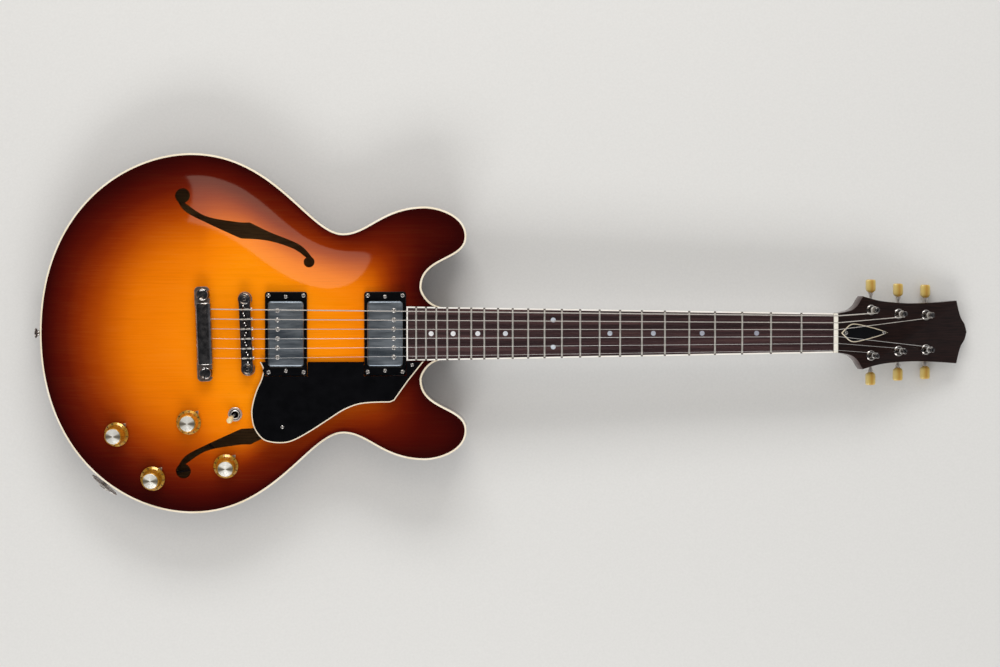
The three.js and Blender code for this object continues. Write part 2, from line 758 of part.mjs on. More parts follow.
function sides() {
  const bottom = BACK_RISE + PLATE_THICKNESS;
  const shelf = EDGE_TOP - PLATE_THICKNESS;
  const profile = [
    [0, bottom],
    [0, shelf],
    [LINING_WIDTH, shelf],
    [SIDE_THICKNESS, shelf - LINING_DEPTH],
    [SIDE_THICKNESS, bottom + LINING_DEPTH],
    [LINING_WIDTH, bottom],
  ];
  const loops = profile.map(([offset, z]) => inset(OUTLINE, offset)
    .map((p) => new THREE.Vector3(p.x, p.y, z)));
  const through = LINING_WIDTH + OVERRUN;
  return cut(
    skin(loops),
    tenonSlot(),
    rod(JACK_BARREL_RADIUS + 2 * SEAT, -through, OVERRUN, 8).applyMatrix4(JACK),
    rod(STRAP_SCREW_RADIUS + SEAT, -through, OVERRUN, 8).applyMatrix4(BUTT),
  );
}

function centreBlock() {
  const inside = common(
    prism(inset(OUTLINE, LINING_WIDTH + SEAT), 0, EDGE_TOP + TOP_RISE),
    plate(
      LINING_WIDTH,
      (x, y) => topHeight(x, y) - PLATE_THICKNESS - SEAT,
      (x, y) => backHeight(x, y) + PLATE_THICKNESS + SEAT,
    ),
  );
  const half = BLOCK_WIDTH / 2;
  const bar = block(BUTT_X, NECK_JOINT_X, -half, half, 0, EDGE_TOP + TOP_RISE);
  const routBottom = EDGE_TOP + TOP_RISE - ROUT_DEPTH;
  const halfX = COVER_WIDTH / 2 + ROUT_CLEARANCE;
  const halfY = COVER_LENGTH / 2 + LEG_LENGTH + ROUT_CLEARANCE;
  return cut(
    common(bar, inside),
    pickupHole(BRIDGE_PICKUP_X, halfX, halfY, routBottom),
    pickupHole(NECK_PICKUP_X, halfX, halfY, routBottom),
    ...BRIDGE.ends.map((end) => hole(end, BRIDGE_POST_RADIUS + 2 * SEAT, BRIDGE_POST_DEPTH)),
    ...TAILPIECE.ends.map((end) => hole(end, STUD_BUSH_RADIUS + 3 * SEAT, STUD_BUSH_DEPTH)),
    rod(STRAP_SCREW_RADIUS + SEAT, -STRAP_SCREW_DEPTH - SEAT, OVERRUN, 8).applyMatrix4(BUTT),
    tenonSlot(),
  );
}

add('top_plate', topPlate(), MAPLE_TOP);
add('back_plate', plate(0, (x, y) => backHeight(x, y) + PLATE_THICKNESS, backHeight), MAPLE_SIDE);
add('sides', sides(), MAPLE_SIDE);
add('top_binding', topBinding(), IVORY);
add('center_block', centreBlock(), RAW_WOOD);

// Neck: shaft, heel, tenon and head in one piece, with the tuner bushings pressed in its face
const NECK_POINTS = 7;

function underBoard(x) {
  return boardHeight(x) - BOARD_THICKNESS - SEAT;
}

function nutBase() {
  return boardHeight(NUT_X + NUT_THICKNESS) - BOARD_THICKNESS;
}

function neckSection(x, top, halfWidth, depth, fullness) {
  return Array.from({ length: NECK_POINTS + 1 }, (_, i) => {
    const angle = (i / NECK_POINTS) * Math.PI;
    const side = Math.cos(angle);
    const drop = Math.sin(angle);
    const y = halfWidth * Math.sign(side) * Math.abs(side) ** (2 / fullness);
    return new THREE.Vector3(x, y, top - depth * Math.abs(drop) ** (2 / fullness));
  });
}

function neckShaft() {
  const start = NECK_JOINT_X + SEAT;
  const heelFront = NECK_JOINT_X + HEEL_LENGTH;
  const sweep = [0, 0.03, 0.12, 0.28, 0.52, 1].map((share) => heelFront + share * HEEL_SWEEP);
  const shaftStart = heelFront + HEEL_SWEEP;
  const stations = [start, ...sweep, (shaftStart + NUT_X) / 2, NUT_X];
  const loops = stations.map((x) => {
    const way = (NUT_X - x) / (NUT_X - NECK_JOINT_X);
    const depth = NECK_NUT_DEPTH + (NECK_JOINT_DEPTH - NECK_NUT_DEPTH) * way;
    const part = THREE.MathUtils.clamp((x - heelFront) / HEEL_SWEEP, 0, 1);
    const heel = 1 - Math.sqrt(1 - (1 - part) ** 2);
    const heelDepth = underBoard(x) - HEEL_BASE_Z;
    return neckSection(x, underBoard(x), boardHalfWidth(x), depth + (heelDepth - depth) * heel, 2 + heel);
  });
  const face = new THREE.Vector3(0, 0, 0).applyMatrix4(HEAD);
  const slope = Math.tan(Math.atan(NECK_SLOPE) + toRadians(HEAD_ANGLE));
  [0, 0.5, 1].forEach((share) => {
    const x = face.x + share * HEAD_BLEND_LENGTH;
    const top = Math.min(face.z - SEAT - (x - face.x) * slope, underBoard(NUT_X));
    const depth = THREE.MathUtils.lerp(NECK_NUT_DEPTH, HEAD_THICKNESS, share);
    loops.push(neckSection(x, top, BOARD_NUT_WIDTH / 2, depth, 2 + share));
  });
  return loft(loops);
}

const HEAD_EDGE_SHARES = [
  [0, 0.538], [0.063, 0.578], [0.114, 0.638], [0.152, 0.764], [0.174, 0.899], [0.193, 1],
  [0.299, 0.892], [0.41, 0.834], [0.568, 0.802], [0.727, 0.819], [0.863, 0.854], [0.92, 0.872],
  [0.936, 0.611], [0.956, 0.384], [0.984, 0.214], [1, 0],
];

function headOutline() {
  const half = HEAD_EDGE_SHARES.map(([along, across]) => new THREE.Vector2(
    along * HEAD_LENGTH,
    (across * HEAD_WIDTH) / 2,
  ));
  const mirrored = half.slice(0, -1).reverse().map((p) => new THREE.Vector2(p.x, -p.y));
  return [...half, ...mirrored].reverse();
}

function boardFootprint() {
  const ends = [BOARD_END_X + SEAT, NECK_JOINT_X + SEAT + OVERRUN];
  const section = (x) => [
    new THREE.Vector3(x, boardHalfWidth(x), underBoard(x)),
    new THREE.Vector3(x, -boardHalfWidth(x), underBoard(x)),
    new THREE.Vector3(x, -boardHalfWidth(x), EDGE_TOP - PLATE_THICKNESS),
    new THREE.Vector3(x, boardHalfWidth(x), EDGE_TOP - PLATE_THICKNESS),
  ];
  return loft(ends.map(section));
}

function neck() {
  const postBores = [];
  const bushings = [];
  for (let i = 0; i < STRING_COUNT; i += 1) {
    const { x, y } = postPlace(i);
    bushings.push(moved(rod(BUSHING_RADIUS, -OVERRUN, BUSHING_HEIGHT, 8), x, y, 0));
    postBores.push(moved(rod(POST_RADIUS + 2 * SEAT, -HEAD_THICKNESS - OVERRUN, BUSHING_HEIGHT + OVERRUN, 8), x, y, 0));
  }
  const pocketEnd = ROD_POCKET_START + ROD_POCKET_LENGTH;
  const pocketHalf = ROD_POCKET_WIDTH / 2;
  const head = cut(
    join(prism(headOutline(), -HEAD_THICKNESS, 0), ...bushings),
    ...postBores,
  ).applyMatrix4(HEAD);
  const pocket = block(ROD_POCKET_START, pocketEnd, -pocketHalf, pocketHalf, -ROD_POCKET_DEPTH, OVERRUN)
    .applyMatrix4(HEAD);
  const tenonEnd = NECK_JOINT_X + SEAT + OVERRUN;
  const tenon = common(
    block(TENON_END_X, tenonEnd, -TENON_WIDTH / 2, TENON_WIDTH / 2, TENON_BASE_Z, EDGE_TOP + TOP_RISE),
    loft([TENON_END_X, tenonEnd].map((x) => [
      new THREE.Vector3(x, BLOCK_WIDTH, underBoard(x)),
      new THREE.Vector3(x, -BLOCK_WIDTH, underBoard(x)),
      new THREE.Vector3(x, -BLOCK_WIDTH, 0),
      new THREE.Vector3(x, BLOCK_WIDTH, 0),
    ])),
  );
  const seatUnderBoard = cut(boardFootprint(), OVER_TOP);
  const strapBore = moved(
    rod(STRAP_SCREW_RADIUS + SEAT, HEEL_BASE_Z - OVERRUN, HEEL_BASE_Z + STRAP_SCREW_DEPTH + SEAT, 8),
    HEEL_BUTTON_X,
    0,
    0,
  );
  const nutBed = block(
    NUT_X - SEAT,
    NUT_X + NUT_THICKNESS + SEAT,
    -BOARD_NUT_WIDTH,
    BOARD_NUT_WIDTH,
    nutBase() - SEAT,
    BOARD_NUT_HEIGHT,
  );
  return cut(join(neckShaft(), head, tenon, seatUnderBoard), nutBed, pocket, strapBore);
}

add('neck', neck(), MAHOGANY);

// Fingerboard with its frets
const BOARD_POINTS = 3;

function fingerboard() {
  const bumps = [];
  const places = Array.from({ length: FRET_COUNT }, (_, i) => fretPlace(FRET_COUNT - i));
  places.filter((x) => x > BOARD_END_X + FRET_WIDTH).forEach((x) => {
    bumps.push([x - FRET_WIDTH / 2, 0], [x - FRET_CROWN_WIDTH / 2, FRET_HEIGHT]);
    bumps.push([x + FRET_CROWN_WIDTH / 2, FRET_HEIGHT], [x + FRET_WIDTH / 2, 0]);
  });
  const stations = [[BOARD_END_X, 0], ...bumps, [NUT_X - SEAT, 0]];
  return loft(stations.map(([x, raised]) => {
    const half = boardHalfWidth(x);
    const top = Array.from({ length: BOARD_POINTS + 1 }, (_, i) => {
      const y = half - (2 * half * i) / BOARD_POINTS;
      return new THREE.Vector3(x, y, boardHeight(x) - camber(y) + raised);
    });
    const bottom = boardHeight(x) - BOARD_THICKNESS;
    return [...top, new THREE.Vector3(x, -half, bottom), new THREE.Vector3(x, half, bottom)];
  }));
}

add('fingerboard', fingerboard(), ROSEWOOD);

// Nut, with a slot for each string
function nutStringHeight(index) {
  return NUT_STRING_HEIGHT - camber(spreadPlace(index, NUT_STRING_SPREAD));
}

function nut() {
  const half = BOARD_NUT_WIDTH / 2;
  const base = nutBase();
  const arc = Array.from({ length: BOARD_POINTS + 1 }, (_, i) => {
    const y = half - (2 * half * i) / BOARD_POINTS;
    return [y, BOARD_NUT_HEIGHT + NUT_PROUD - camber(y)];
  });
  const section = (x) => [...arc, [-half, base], [half, base]].map(([y, z]) => new THREE.Vector3(x, y, z));
  const slots = STRING_RADII.map((radius, i) => {
    const y = spreadPlace(i, NUT_STRING_SPREAD);
    const floor = nutStringHeight(i) - radius - STRING_SEAT;
    const side = radius + STRING_SEAT;
    return block(NUT_X - OVERRUN, NUT_X + NUT_THICKNESS + OVERRUN, y - side, y + side, floor, floor + half);
  });
  return cut(loft([section(NUT_X), section(NUT_X + NUT_THICKNESS)]), ...slots);
}

add('nut', nut(), BONE);

// Truss rod cover on the head face
const ROD_COVER_EDGE_SHARES = [[0, 0], [0.06, 0.34], [0.16, 0.82], [0.26, 1], [0.46, 0.84], [0.8, 0.38], [1, 0]];

function rodCover() {
  const half = ROD_COVER_EDGE_SHARES.map(([along, across]) => new THREE.Vector2(
    ROD_COVER_START + along * ROD_COVER_LENGTH,
    (across * ROD_COVER_WIDTH) / 2,
  ));
  const mirrored = half.slice(1, -1).reverse().map((p) => new THREE.Vector2(p.x, -p.y));
  return prism([...half, ...mirrored].reverse(), SEAT, SEAT + ROD_COVER_THICKNESS);
}

add('truss_rod_cover', rodCover(), BLACK_PLASTIC, HEAD);

// Tuners: housing, worm shaft with its button, and post with its gear
const HOUSING_TOP = -HEAD_THICKNESS - SEAT;
const WORM_Z = HOUSING_TOP - SEAT - BUTTON_THICKNESS / 2;

function housing(side) {
  const half = HOUSING_WIDTH / 2;
  const x0 = -HOUSING_BEHIND_POST;
  const x1 = WORM_OFFSET + HOUSING_PAST_WORM;
  const bottom = HOUSING_TOP - HOUSING_DEPTH;
  const wall = HOUSING_WALL;
  const shell = cut(
    block(x0, x1, -half, half, bottom, HOUSING_TOP),
    block(x0 + wall, x1 - wall, -half + wall, half - wall, bottom + wall, HOUSING_TOP + OVERRUN),
  );
  const bore = rod(TUNER_SHAFT_RADIUS + SEAT, 0, half + OVERRUN, 8)
    .rotateX((-side * Math.PI) / 2)
    .translate(WORM_OFFSET, 0, WORM_Z);
  return cut(shell, bore);
}

function button(side) {
  const sections = [
    [0, TUNER_SHAFT_RADIUS, TUNER_SHAFT_RADIUS],
    [BUTTON_START - BUTTON_COLLAR_LENGTH, TUNER_SHAFT_RADIUS, TUNER_SHAFT_RADIUS],
    [BUTTON_START - BUTTON_COLLAR_LENGTH, BUTTON_COLLAR_RADIUS, BUTTON_COLLAR_RADIUS],
    [BUTTON_START, BUTTON_COLLAR_RADIUS, BUTTON_COLLAR_RADIUS],
    [BUTTON_START + BUTTON_LENGTH * 0.12, BUTTON_WIDTH * 0.44, BUTTON_THICKNESS * 0.42],
    [BUTTON_START + BUTTON_LENGTH * 0.5, BUTTON_WIDTH * 0.5, BUTTON_THICKNESS * 0.5],
    [BUTTON_START + BUTTON_LENGTH * 0.88, BUTTON_WIDTH * 0.5, BUTTON_THICKNESS * 0.46],
    [BUTTON_START + BUTTON_LENGTH, BUTTON_WIDTH * 0.4, BUTTON_THICKNESS * 0.34],
  ];
  const shaft = loft(sections.map(([y, halfX, halfZ]) => circle(0, 0, 1, 8).map((p) => new THREE.Vector3(
    WORM_OFFSET + p.x * halfX,
    side * y,
    WORM_Z + p.y * halfZ,
  ))));
  const worm = rod(WORM_RADIUS, -WORM_LENGTH / 2, WORM_LENGTH / 2, 6)
    .rotateX(Math.PI / 2)
    .translate(WORM_OFFSET, 0, WORM_Z);
  return join(shaft, worm);
}

function post() {
  const gearTop = WORM_Z + GEAR_THICKNESS / 2;
  const stem = turned([
    [0, gearTop - GEAR_THICKNESS / 2],
    [POST_RADIUS, gearTop - GEAR_THICKNESS / 2],
    [POST_RADIUS, POST_WAIST_BASE],
    [POST_WAIST_RADIUS, POST_WAIST_BASE + STRING_BALL_RADIUS],
    [POST_WAIST_RADIUS, POST_WAIST_TOP],
    [POST_RADIUS, POST_WAIST_TOP + STRING_BALL_RADIUS],
    [POST_RADIUS, POST_HEIGHT],
    [0, POST_HEIGHT],
  ], 8);
  const teeth = [];
  for (let i = 0; i < GEAR_TEETH * 2; i += 1) {
    const angle = (i / (GEAR_TEETH * 2)) * Math.PI * 2;
    const radius = i % 2 ? GEAR_RADIUS - GEAR_TOOTH_DEPTH : GEAR_RADIUS;
    teeth.push(new THREE.Vector2(radius * Math.cos(angle), radius * Math.sin(angle)));
  }
  return join(stem, prism(teeth, gearTop - GEAR_THICKNESS, gearTop));
}

const tuners = new THREE.Group();
HEAD.decompose(tuners.position, tuners.quaternion, tuners.scale);
guitar.add(tuners);

for (let i = 0; i < STRING_COUNT; i += 1) {
  const { x, y, side } = postPlace(i);
  const number = i + 1;
  const pieces = [
    [`tuner_housing_${number}`, housing(side), NICKEL],
    [`tuner_button_${number}`, button(side), CREAM_PLASTIC],
    [`tuner_post_${number}`, post(), NICKEL],
  ];
  pieces.forEach(([name, geometry, material]) => {
    const mesh = new THREE.Mesh(geometry, material);
    mesh.name = name;
    mesh.position.set(x, y, 0);
    tuners.add(mesh);
  });
}

// Pickup rings, and the covers that hang from them on two height screws
function stringTilt(x, below) {
  const seat = new THREE.Object3D();
  seat.position.set(x, 0, stringHeight(x) - below);
  seat.rotation.y = Math.atan(STRING_SLOPE);
  seat.updateMatrix();
  return seat.matrix;
}

const HEIGHT_SCREW_Y = COVER_LENGTH / 2 + LEG_LENGTH - HEIGHT_SCREW_HEAD_RADIUS - SEAT;

function pickupRing(x) {
  const outer = prism(roundedRectangle(RING_WIDTH / 2, RING_LENGTH / 2, RING_CORNER, 2), -RING_THICKNESS, 0);
  const halfX = COVER_WIDTH / 2 + COVER_CLEARANCE;
  const halfY = COVER_LENGTH / 2 + COVER_CLEARANCE;
  const opening = prism(roundedRectangle(halfX, halfY, COVER_CORNER, 2), -RING_THICKNESS - OVERRUN, OVERRUN);
  const bores = [1, -1].map((side) => moved(
    rod(HEIGHT_SCREW_RADIUS + 2 * SEAT, -RING_THICKNESS - OVERRUN, OVERRUN, 6),
    0,
    side * HEIGHT_SCREW_Y,
    0,
  ));
  return cut(cut(outer, opening, ...bores).applyMatrix4(stringTilt(x, RING_TO_STRING)), OVER_TOP);
}

function pickup(x, poleSide) {
  const halfX = COVER_WIDTH / 2;
  const halfY = COVER_LENGTH / 2;
  const loop = (shrink, z) => roundedRectangle(halfX - shrink, halfY - shrink, COVER_CORNER - shrink / 2, 2)
    .map((p) => new THREE.Vector3(p.x, p.y, z));
  const cover = loft([loop(0, -COVER_HEIGHT), loop(0, -COVER_EDGE), loop(COVER_EDGE, 0)]);
  const poles = Array.from({ length: STRING_COUNT }, (_, i) => moved(
    rod(POLE_RADIUS, -POLE_PROUD, POLE_PROUD, 6),
    poleSide * POLE_OFFSET,
    spreadPlace(i, POLE_SPREAD),
    0,
  ));
  const reach = halfY + LEG_LENGTH;
  const legTop = -COVER_HEIGHT + LEG_THICKNESS;
  const legs = block(-LEG_WIDTH / 2, LEG_WIDTH / 2, -reach, reach, -COVER_HEIGHT, legTop);
  const ringTop = COVER_TO_STRING - RING_TO_STRING + SEAT;
  const screws = [1, -1].map((side) => moved(turned([
    [0, -COVER_HEIGHT - OVERRUN],
    [HEIGHT_SCREW_RADIUS, -COVER_HEIGHT - OVERRUN],
    [HEIGHT_SCREW_RADIUS, ringTop],
    [HEIGHT_SCREW_HEAD_RADIUS, ringTop],
    [HEIGHT_SCREW_HEAD_RADIUS, ringTop + HEIGHT_SCREW_HEAD],
    [0, ringTop + HEIGHT_SCREW_HEAD],
  ], 6), 0, side * HEIGHT_SCREW_Y, 0));
  return join(cover, legs, ...poles, ...screws).applyMatrix4(stringTilt(x, COVER_TO_STRING));
}

add('bridge_pickup_ring', pickupRing(BRIDGE_PICKUP_X), BLACK_PLASTIC);
add('neck_pickup_ring', pickupRing(NECK_PICKUP_X), BLACK_PLASTIC);
add('bridge_pickup', pickup(BRIDGE_PICKUP_X, -1), NICKEL);
add('neck_pickup', pickup(NECK_PICKUP_X, 1), NICKEL);

// Bridge: a bar with a trough, six saddles on their screws, and two posts with thumbwheels
const SADDLE_SCREW_Z = BRIDGE_BASE_Z + BRIDGE_FLOOR + SEAT + SADDLE_SCREW_RISE;

function bridgeBase() {
  const bar = BRIDGE_BAR_WIDTH / 2;
  const top = BRIDGE_BASE_Z + BRIDGE_BAR_HEIGHT;
  const half = BRIDGE_POST_SPREAD / 2;
  const floor = BRIDGE_BASE_Z + BRIDGE_FLOOR;
  const ends = [half, -half].map((y) => moved(rod(BRIDGE_END_RADIUS, BRIDGE_BASE_Z, top, 12), 0, y, 0));
  const bores = [half, -half].map((y) => moved(
    rod(BRIDGE_POST_RADIUS + SEAT, BRIDGE_BASE_Z - OVERRUN, top + OVERRUN, 8),
    0,
    y,
    0,
  ));
  const trough = block(
    -TROUGH_WIDTH / 2,
    TROUGH_WIDTH / 2,
    -TROUGH_LENGTH / 2,
    TROUGH_LENGTH / 2,
    floor,
    top + OVERRUN,
  );
  const screws = Array.from({ length: STRING_COUNT }, (_, i) => turned([
    [0, -bar],
    [SADDLE_SCREW_RADIUS, -bar],
    [SADDLE_SCREW_RADIUS, bar],
    [SADDLE_SCREW_HEAD_RADIUS, bar],
    [SADDLE_SCREW_HEAD_RADIUS, bar + SADDLE_SCREW_HEAD],
    [0, bar + SADDLE_SCREW_HEAD],
  ], 6).rotateY(Math.PI / 2).translate(0, spreadPlace(i, BRIDGE_STRING_SPREAD), SADDLE_SCREW_Z));
  const body = join(block(-bar, bar, -half, half, BRIDGE_BASE_Z, top), ...ends);
  return join(cut(body, trough, ...bores), ...screws);
}

function saddleStringHeight(index) {
  return SADDLE_HEIGHT - camber(spreadPlace(index, BRIDGE_STRING_SPREAD));
}

function saddle(index) {
  const bottom = BRIDGE_BASE_Z + BRIDGE_FLOOR + SEAT;
  const crest = saddleStringHeight(index) - STRING_RADII[index] - STRING_SEAT;
  const half = SADDLE_THICKNESS / 2;
  const tip = SADDLE_CREST_WIDTH / 2;
  const shoulder = bottom + SADDLE_SHOULDER;
  const profile = [[-half, bottom], [half, bottom], [half, shoulder], [tip, crest], [-tip, crest], [-half, shoulder]];
  const section = (y) => profile.map(([x, z]) => new THREE.Vector3(x, y, z));
  const bore = rod(SADDLE_SCREW_RADIUS + 2 * SEAT, -half - OVERRUN, half + OVERRUN, 6)
    .rotateY(Math.PI / 2)
    .translate(0, 0, SADDLE_SCREW_Z);
  return cut(loft([section(-SADDLE_LENGTH / 2), section(SADDLE_LENGTH / 2)]), bore)
    .translate(SADDLE_SETTINGS[index], spreadPlace(index, BRIDGE_STRING_SPREAD), 0);
}

function bridgePost() {
  const wheelTop = BRIDGE_BASE_Z - SEAT;
  const top = BRIDGE_BASE_Z + BRIDGE_BAR_HEIGHT + BRIDGE_POST_PROUD;
  const bottom = EDGE_TOP + TOP_RISE - BRIDGE_POST_DEPTH + SEAT;
  return turned([
    [0, bottom],
    [BRIDGE_POST_RADIUS, bottom],
    [BRIDGE_POST_RADIUS, wheelTop - THUMBWHEEL_HEIGHT],
    [THUMBWHEEL_RADIUS, wheelTop - THUMBWHEEL_HEIGHT],
    [THUMBWHEEL_RADIUS, wheelTop],
    [BRIDGE_POST_RADIUS, wheelTop],
    [BRIDGE_POST_RADIUS, top],
    [0, top],
  ], 10);
}

add('bridge_base', bridgeBase(), NICKEL, BRIDGE.matrix);
for (let i = 0; i < STRING_COUNT; i += 1) {
  add(`saddle_${i + 1}`, shape(solid(saddle(i))), NICKEL, BRIDGE.matrix);
}
['bass', 'treble'].forEach((side, i) => {
  const end = BRIDGE.ends[i];
  add(`bridge_post_${side}`, moved(bridgePost(), end.x, end.y, 0), NICKEL);
});

// Tailpiece bar, hooked under the heads of two studs
function tailpiece() {
  const halfX = TAILPIECE_WIDTH / 2;
  const halfZ = TAILPIECE_HEIGHT / 2;
  const halfY = TAILPIECE_BAR_LENGTH / 2;
  const profile = circle(0, 0, 1, 12).map((p) => [
    halfX * Math.sign(p.x) * Math.sqrt(Math.abs(p.x)),
    halfZ * Math.sign(p.y) * Math.abs(p.y) ** 0.7,
  ]);
  const section = (y, share) => profile.map(([x, z]) => new THREE.Vector3(x * share, y, TAILPIECE_Z + z * share));
  const bar = loft([section(-halfY, 0.9), section(-halfY * 0.95, 1), section(halfY * 0.95, 1), section(halfY, 0.9)]);
  const halfLug = TAILPIECE_LUG_THICKNESS / 2;
  const lugY = TAILPIECE_STUD_SPREAD / 2;
  const lugs = [1, -1].map((side) => {
    const y = side * lugY;
    const radius = TAILPIECE_LUG_RADIUS;
    const disc = moved(rod(radius, -halfLug, halfLug, 14), 0, y, 0);
    const arm = block(-radius, radius, Math.min(y, 0), Math.max(y, 0), -halfLug, halfLug);
    const slot = STUD_NECK_RADIUS + SEAT;
    const mouth = block(0, radius + OVERRUN, y - slot, y + slot, -halfZ, halfZ);
    const neckHole = moved(rod(slot, -halfZ, halfZ, 10), 0, y, 0);
    return cut(join(disc, arm), mouth, neckHole).translate(0, 0, TAILPIECE_Z);
  });
  const bores = STRING_RADII.map((_, i) => rod(STRING_BALL_RADIUS - SEAT, -halfX - OVERRUN, halfX + OVERRUN, 6)
    .rotateY(Math.PI / 2)
    .translate(0, spreadPlace(i, BRIDGE_STRING_SPREAD), TAILPIECE_Z));
  return cut(join(bar, ...lugs), ...bores);
}

function tailpieceStud() {
  const lugBottom = TAILPIECE_Z - TAILPIECE_LUG_THICKNESS / 2 - SEAT;
  const lugTop = TAILPIECE_Z + TAILPIECE_LUG_THICKNESS / 2 + SEAT;
  const bottom = EDGE_TOP + TOP_RISE - STUD_BUSH_DEPTH + SEAT;
  const flangeBottom = lugBottom - STUD_FLANGE_HEIGHT;
  const top = lugTop + STUD_HEAD_HEIGHT;
  const stud = turned([
    [0, bottom],
    [STUD_BUSH_RADIUS, bottom],
    [STUD_BUSH_RADIUS, flangeBottom],
    [STUD_HEAD_RADIUS, flangeBottom],
    [STUD_HEAD_RADIUS, lugBottom],
    [STUD_NECK_RADIUS, lugBottom],
    [STUD_NECK_RADIUS, lugTop],
    [STUD_HEAD_RADIUS, lugTop],
    [STUD_HEAD_RADIUS, top],
    [0, top],
  ], 10);
  const reach = STUD_HEAD_RADIUS + OVERRUN;
  const half = STUD_SLOT_WIDTH / 2;
  return cut(stud, block(-reach, reach, -half, half, top - STUD_SLOT_DEPTH, top + OVERRUN));
}

add('tailpiece', tailpiece(), NICKEL, TAILPIECE.matrix);
['bass', 'treble'].forEach((side, i) => {
  const end = TAILPIECE.ends[i];
  add(`tailpiece_stud_${side}`, moved(tailpieceStud(), end.x, end.y, 0), NICKEL);
});

// Volume and tone knobs on their shafts
function knob() {
  const lift = KNOB_LIFT;
  const top = lift + KNOB_HEIGHT;
  return turned([
    [0, -PLATE_THICKNESS],
    [SHAFT_RADIUS, -PLATE_THICKNESS],
    [SHAFT_RADIUS, lift + KNOB_HOLLOW_DEPTH],
    [KNOB_HOLLOW_RADIUS, lift + KNOB_HOLLOW_DEPTH],
    [KNOB_HOLLOW_RADIUS, lift],
    [KNOB_SKIRT_RADIUS, lift],
    [KNOB_SKIRT_RADIUS, lift + KNOB_SKIRT_HEIGHT * 0.5],
    [KNOB_WAIST_RADIUS, lift + KNOB_SKIRT_HEIGHT],
    [KNOB_TOP_RADIUS, top - KNOB_CAP_HEIGHT],
    [KNOB_CAP_RADIUS, top],
    [0, top],
  ], 14);
}

KNOB_SEATS.forEach((seat, i) => add(`knob_${i + 1}`, shape(solid(knob())), GOLD_PLASTIC, seat));

// Pots under the top, joined by the bare braid that earths their casings
const POT_TOP = -PLATE_THICKNESS - POT_DROP;

function pot(seat) {
  const casing = turned([
    [0, POT_TOP - POT_HEIGHT],
    [POT_RADIUS, POT_TOP - POT_HEIGHT],
    [POT_RADIUS, POT_TOP],
    [POT_BUSH_RADIUS, POT_TOP],
    [POT_BUSH_RADIUS, POT_BUSH_TOP],
    [SHAFT_RADIUS + 2 * SEAT, POT_BUSH_TOP],
    [SHAFT_RADIUS + 2 * SEAT, POT_TOP],
    [0, POT_TOP],
  ], 8);
  return casing.applyMatrix4(seat);
}

function braid() {
  const order = [0, 2, 3, 1];
  const casingMiddle = new THREE.Vector3(0, 0, POT_TOP - POT_HEIGHT / 2);
  const points = order.map((i) => casingMiddle.clone().applyMatrix4(KNOB_SEATS[i]));
  return points.slice(1).map((to, i) => tube([points[i], to], [WIRE_RADIUS, WIRE_RADIUS], 5));
}

add('wiring_harness', join(...KNOB_SEATS.map(pot), ...braid()), STEEL);

// Pickup switch: body and bushing under the top, and the lever that rocks in it
const SWITCH_NUT_TOP = 2 * SEAT + SWITCH_NUT_HEIGHT;

function switchBody() {
  const bottom = -PLATE_THICKNESS - POT_DROP;
  const frame = block(
    -SWITCH_BODY_LENGTH / 2,
    SWITCH_BODY_LENGTH / 2,
    -SWITCH_BODY_WIDTH / 2,
    SWITCH_BODY_WIDTH / 2,
    bottom - SWITCH_BODY_HEIGHT,
    bottom,
  );
  const bush = rod(SWITCH_BUSH_RADIUS, bottom - SEAT, SWITCH_NUT_TOP, 10);
  const dressNut = rod(SWITCH_NUT_RADIUS, 2 * SEAT, SWITCH_NUT_TOP, 10);
  const socket = SWITCH_PIVOT_RADIUS + SEAT;
  const opening = (SWITCH_PIVOT_DEPTH + SWITCH_NUT_TOP) * Math.tan(toRadians(LEVER_THROW));
  const mouth = opening + LEVER_RADIUS + 2 * SEAT;
  const cavity = turned([
    [0, -SWITCH_PIVOT_DEPTH - 2 * socket],
    [socket, -SWITCH_PIVOT_DEPTH - 2 * socket],
    [socket, -SWITCH_PIVOT_DEPTH],
    [mouth, SWITCH_NUT_TOP],
    [mouth, SWITCH_NUT_TOP + OVERRUN],
    [0, SWITCH_NUT_TOP + OVERRUN],
  ], 10);
  return cut(join(frame, bush, dressNut), cavity);
}

function switchLever() {
  const ball = SWITCH_PIVOT_RADIUS;
  const tipStart = LEVER_LENGTH - LEVER_TIP_LENGTH;
  return turned([
    [0, -ball],
    [ball * 0.75, -ball * 0.7],
    [ball, 0],
    [ball * 0.75, ball * 0.7],
    [LEVER_RADIUS, ball],
    [LEVER_RADIUS, tipStart],
    [LEVER_TIP_RADIUS * 0.7, tipStart],
    [LEVER_TIP_RADIUS, LEVER_LENGTH - LEVER_TIP_LENGTH * 0.3],
    [LEVER_TIP_RADIUS * 0.7, LEVER_LENGTH - LEVER_TIP_LENGTH * 0.05],
    [0, LEVER_LENGTH],
  ], 8);
}

function leverMatrix() {
  const seat = new THREE.Object3D();
  seat.position.set(0, 0, -SWITCH_PIVOT_DEPTH);
  const heading = toRadians(LEVER_HEADING);
  const axis = new THREE.Vector3(-Math.sin(heading), Math.cos(heading), 0);
  seat.quaternion.setFromAxisAngle(axis, toRadians(LEVER_THROW));
  seat.updateMatrix();
  return SWITCH_SEAT.clone().multiply(seat.matrix);
}

function switchMatrix() {
  return SWITCH_SEAT.clone().multiply(new THREE.Matrix4().makeRotationZ(toRadians(LEVER_HEADING)));
}

add('switch_body', switchBody(), STEEL, switchMatrix());
add('switch_lever', shape(solid(switchLever())), CREAM_PLASTIC, leverMatrix());

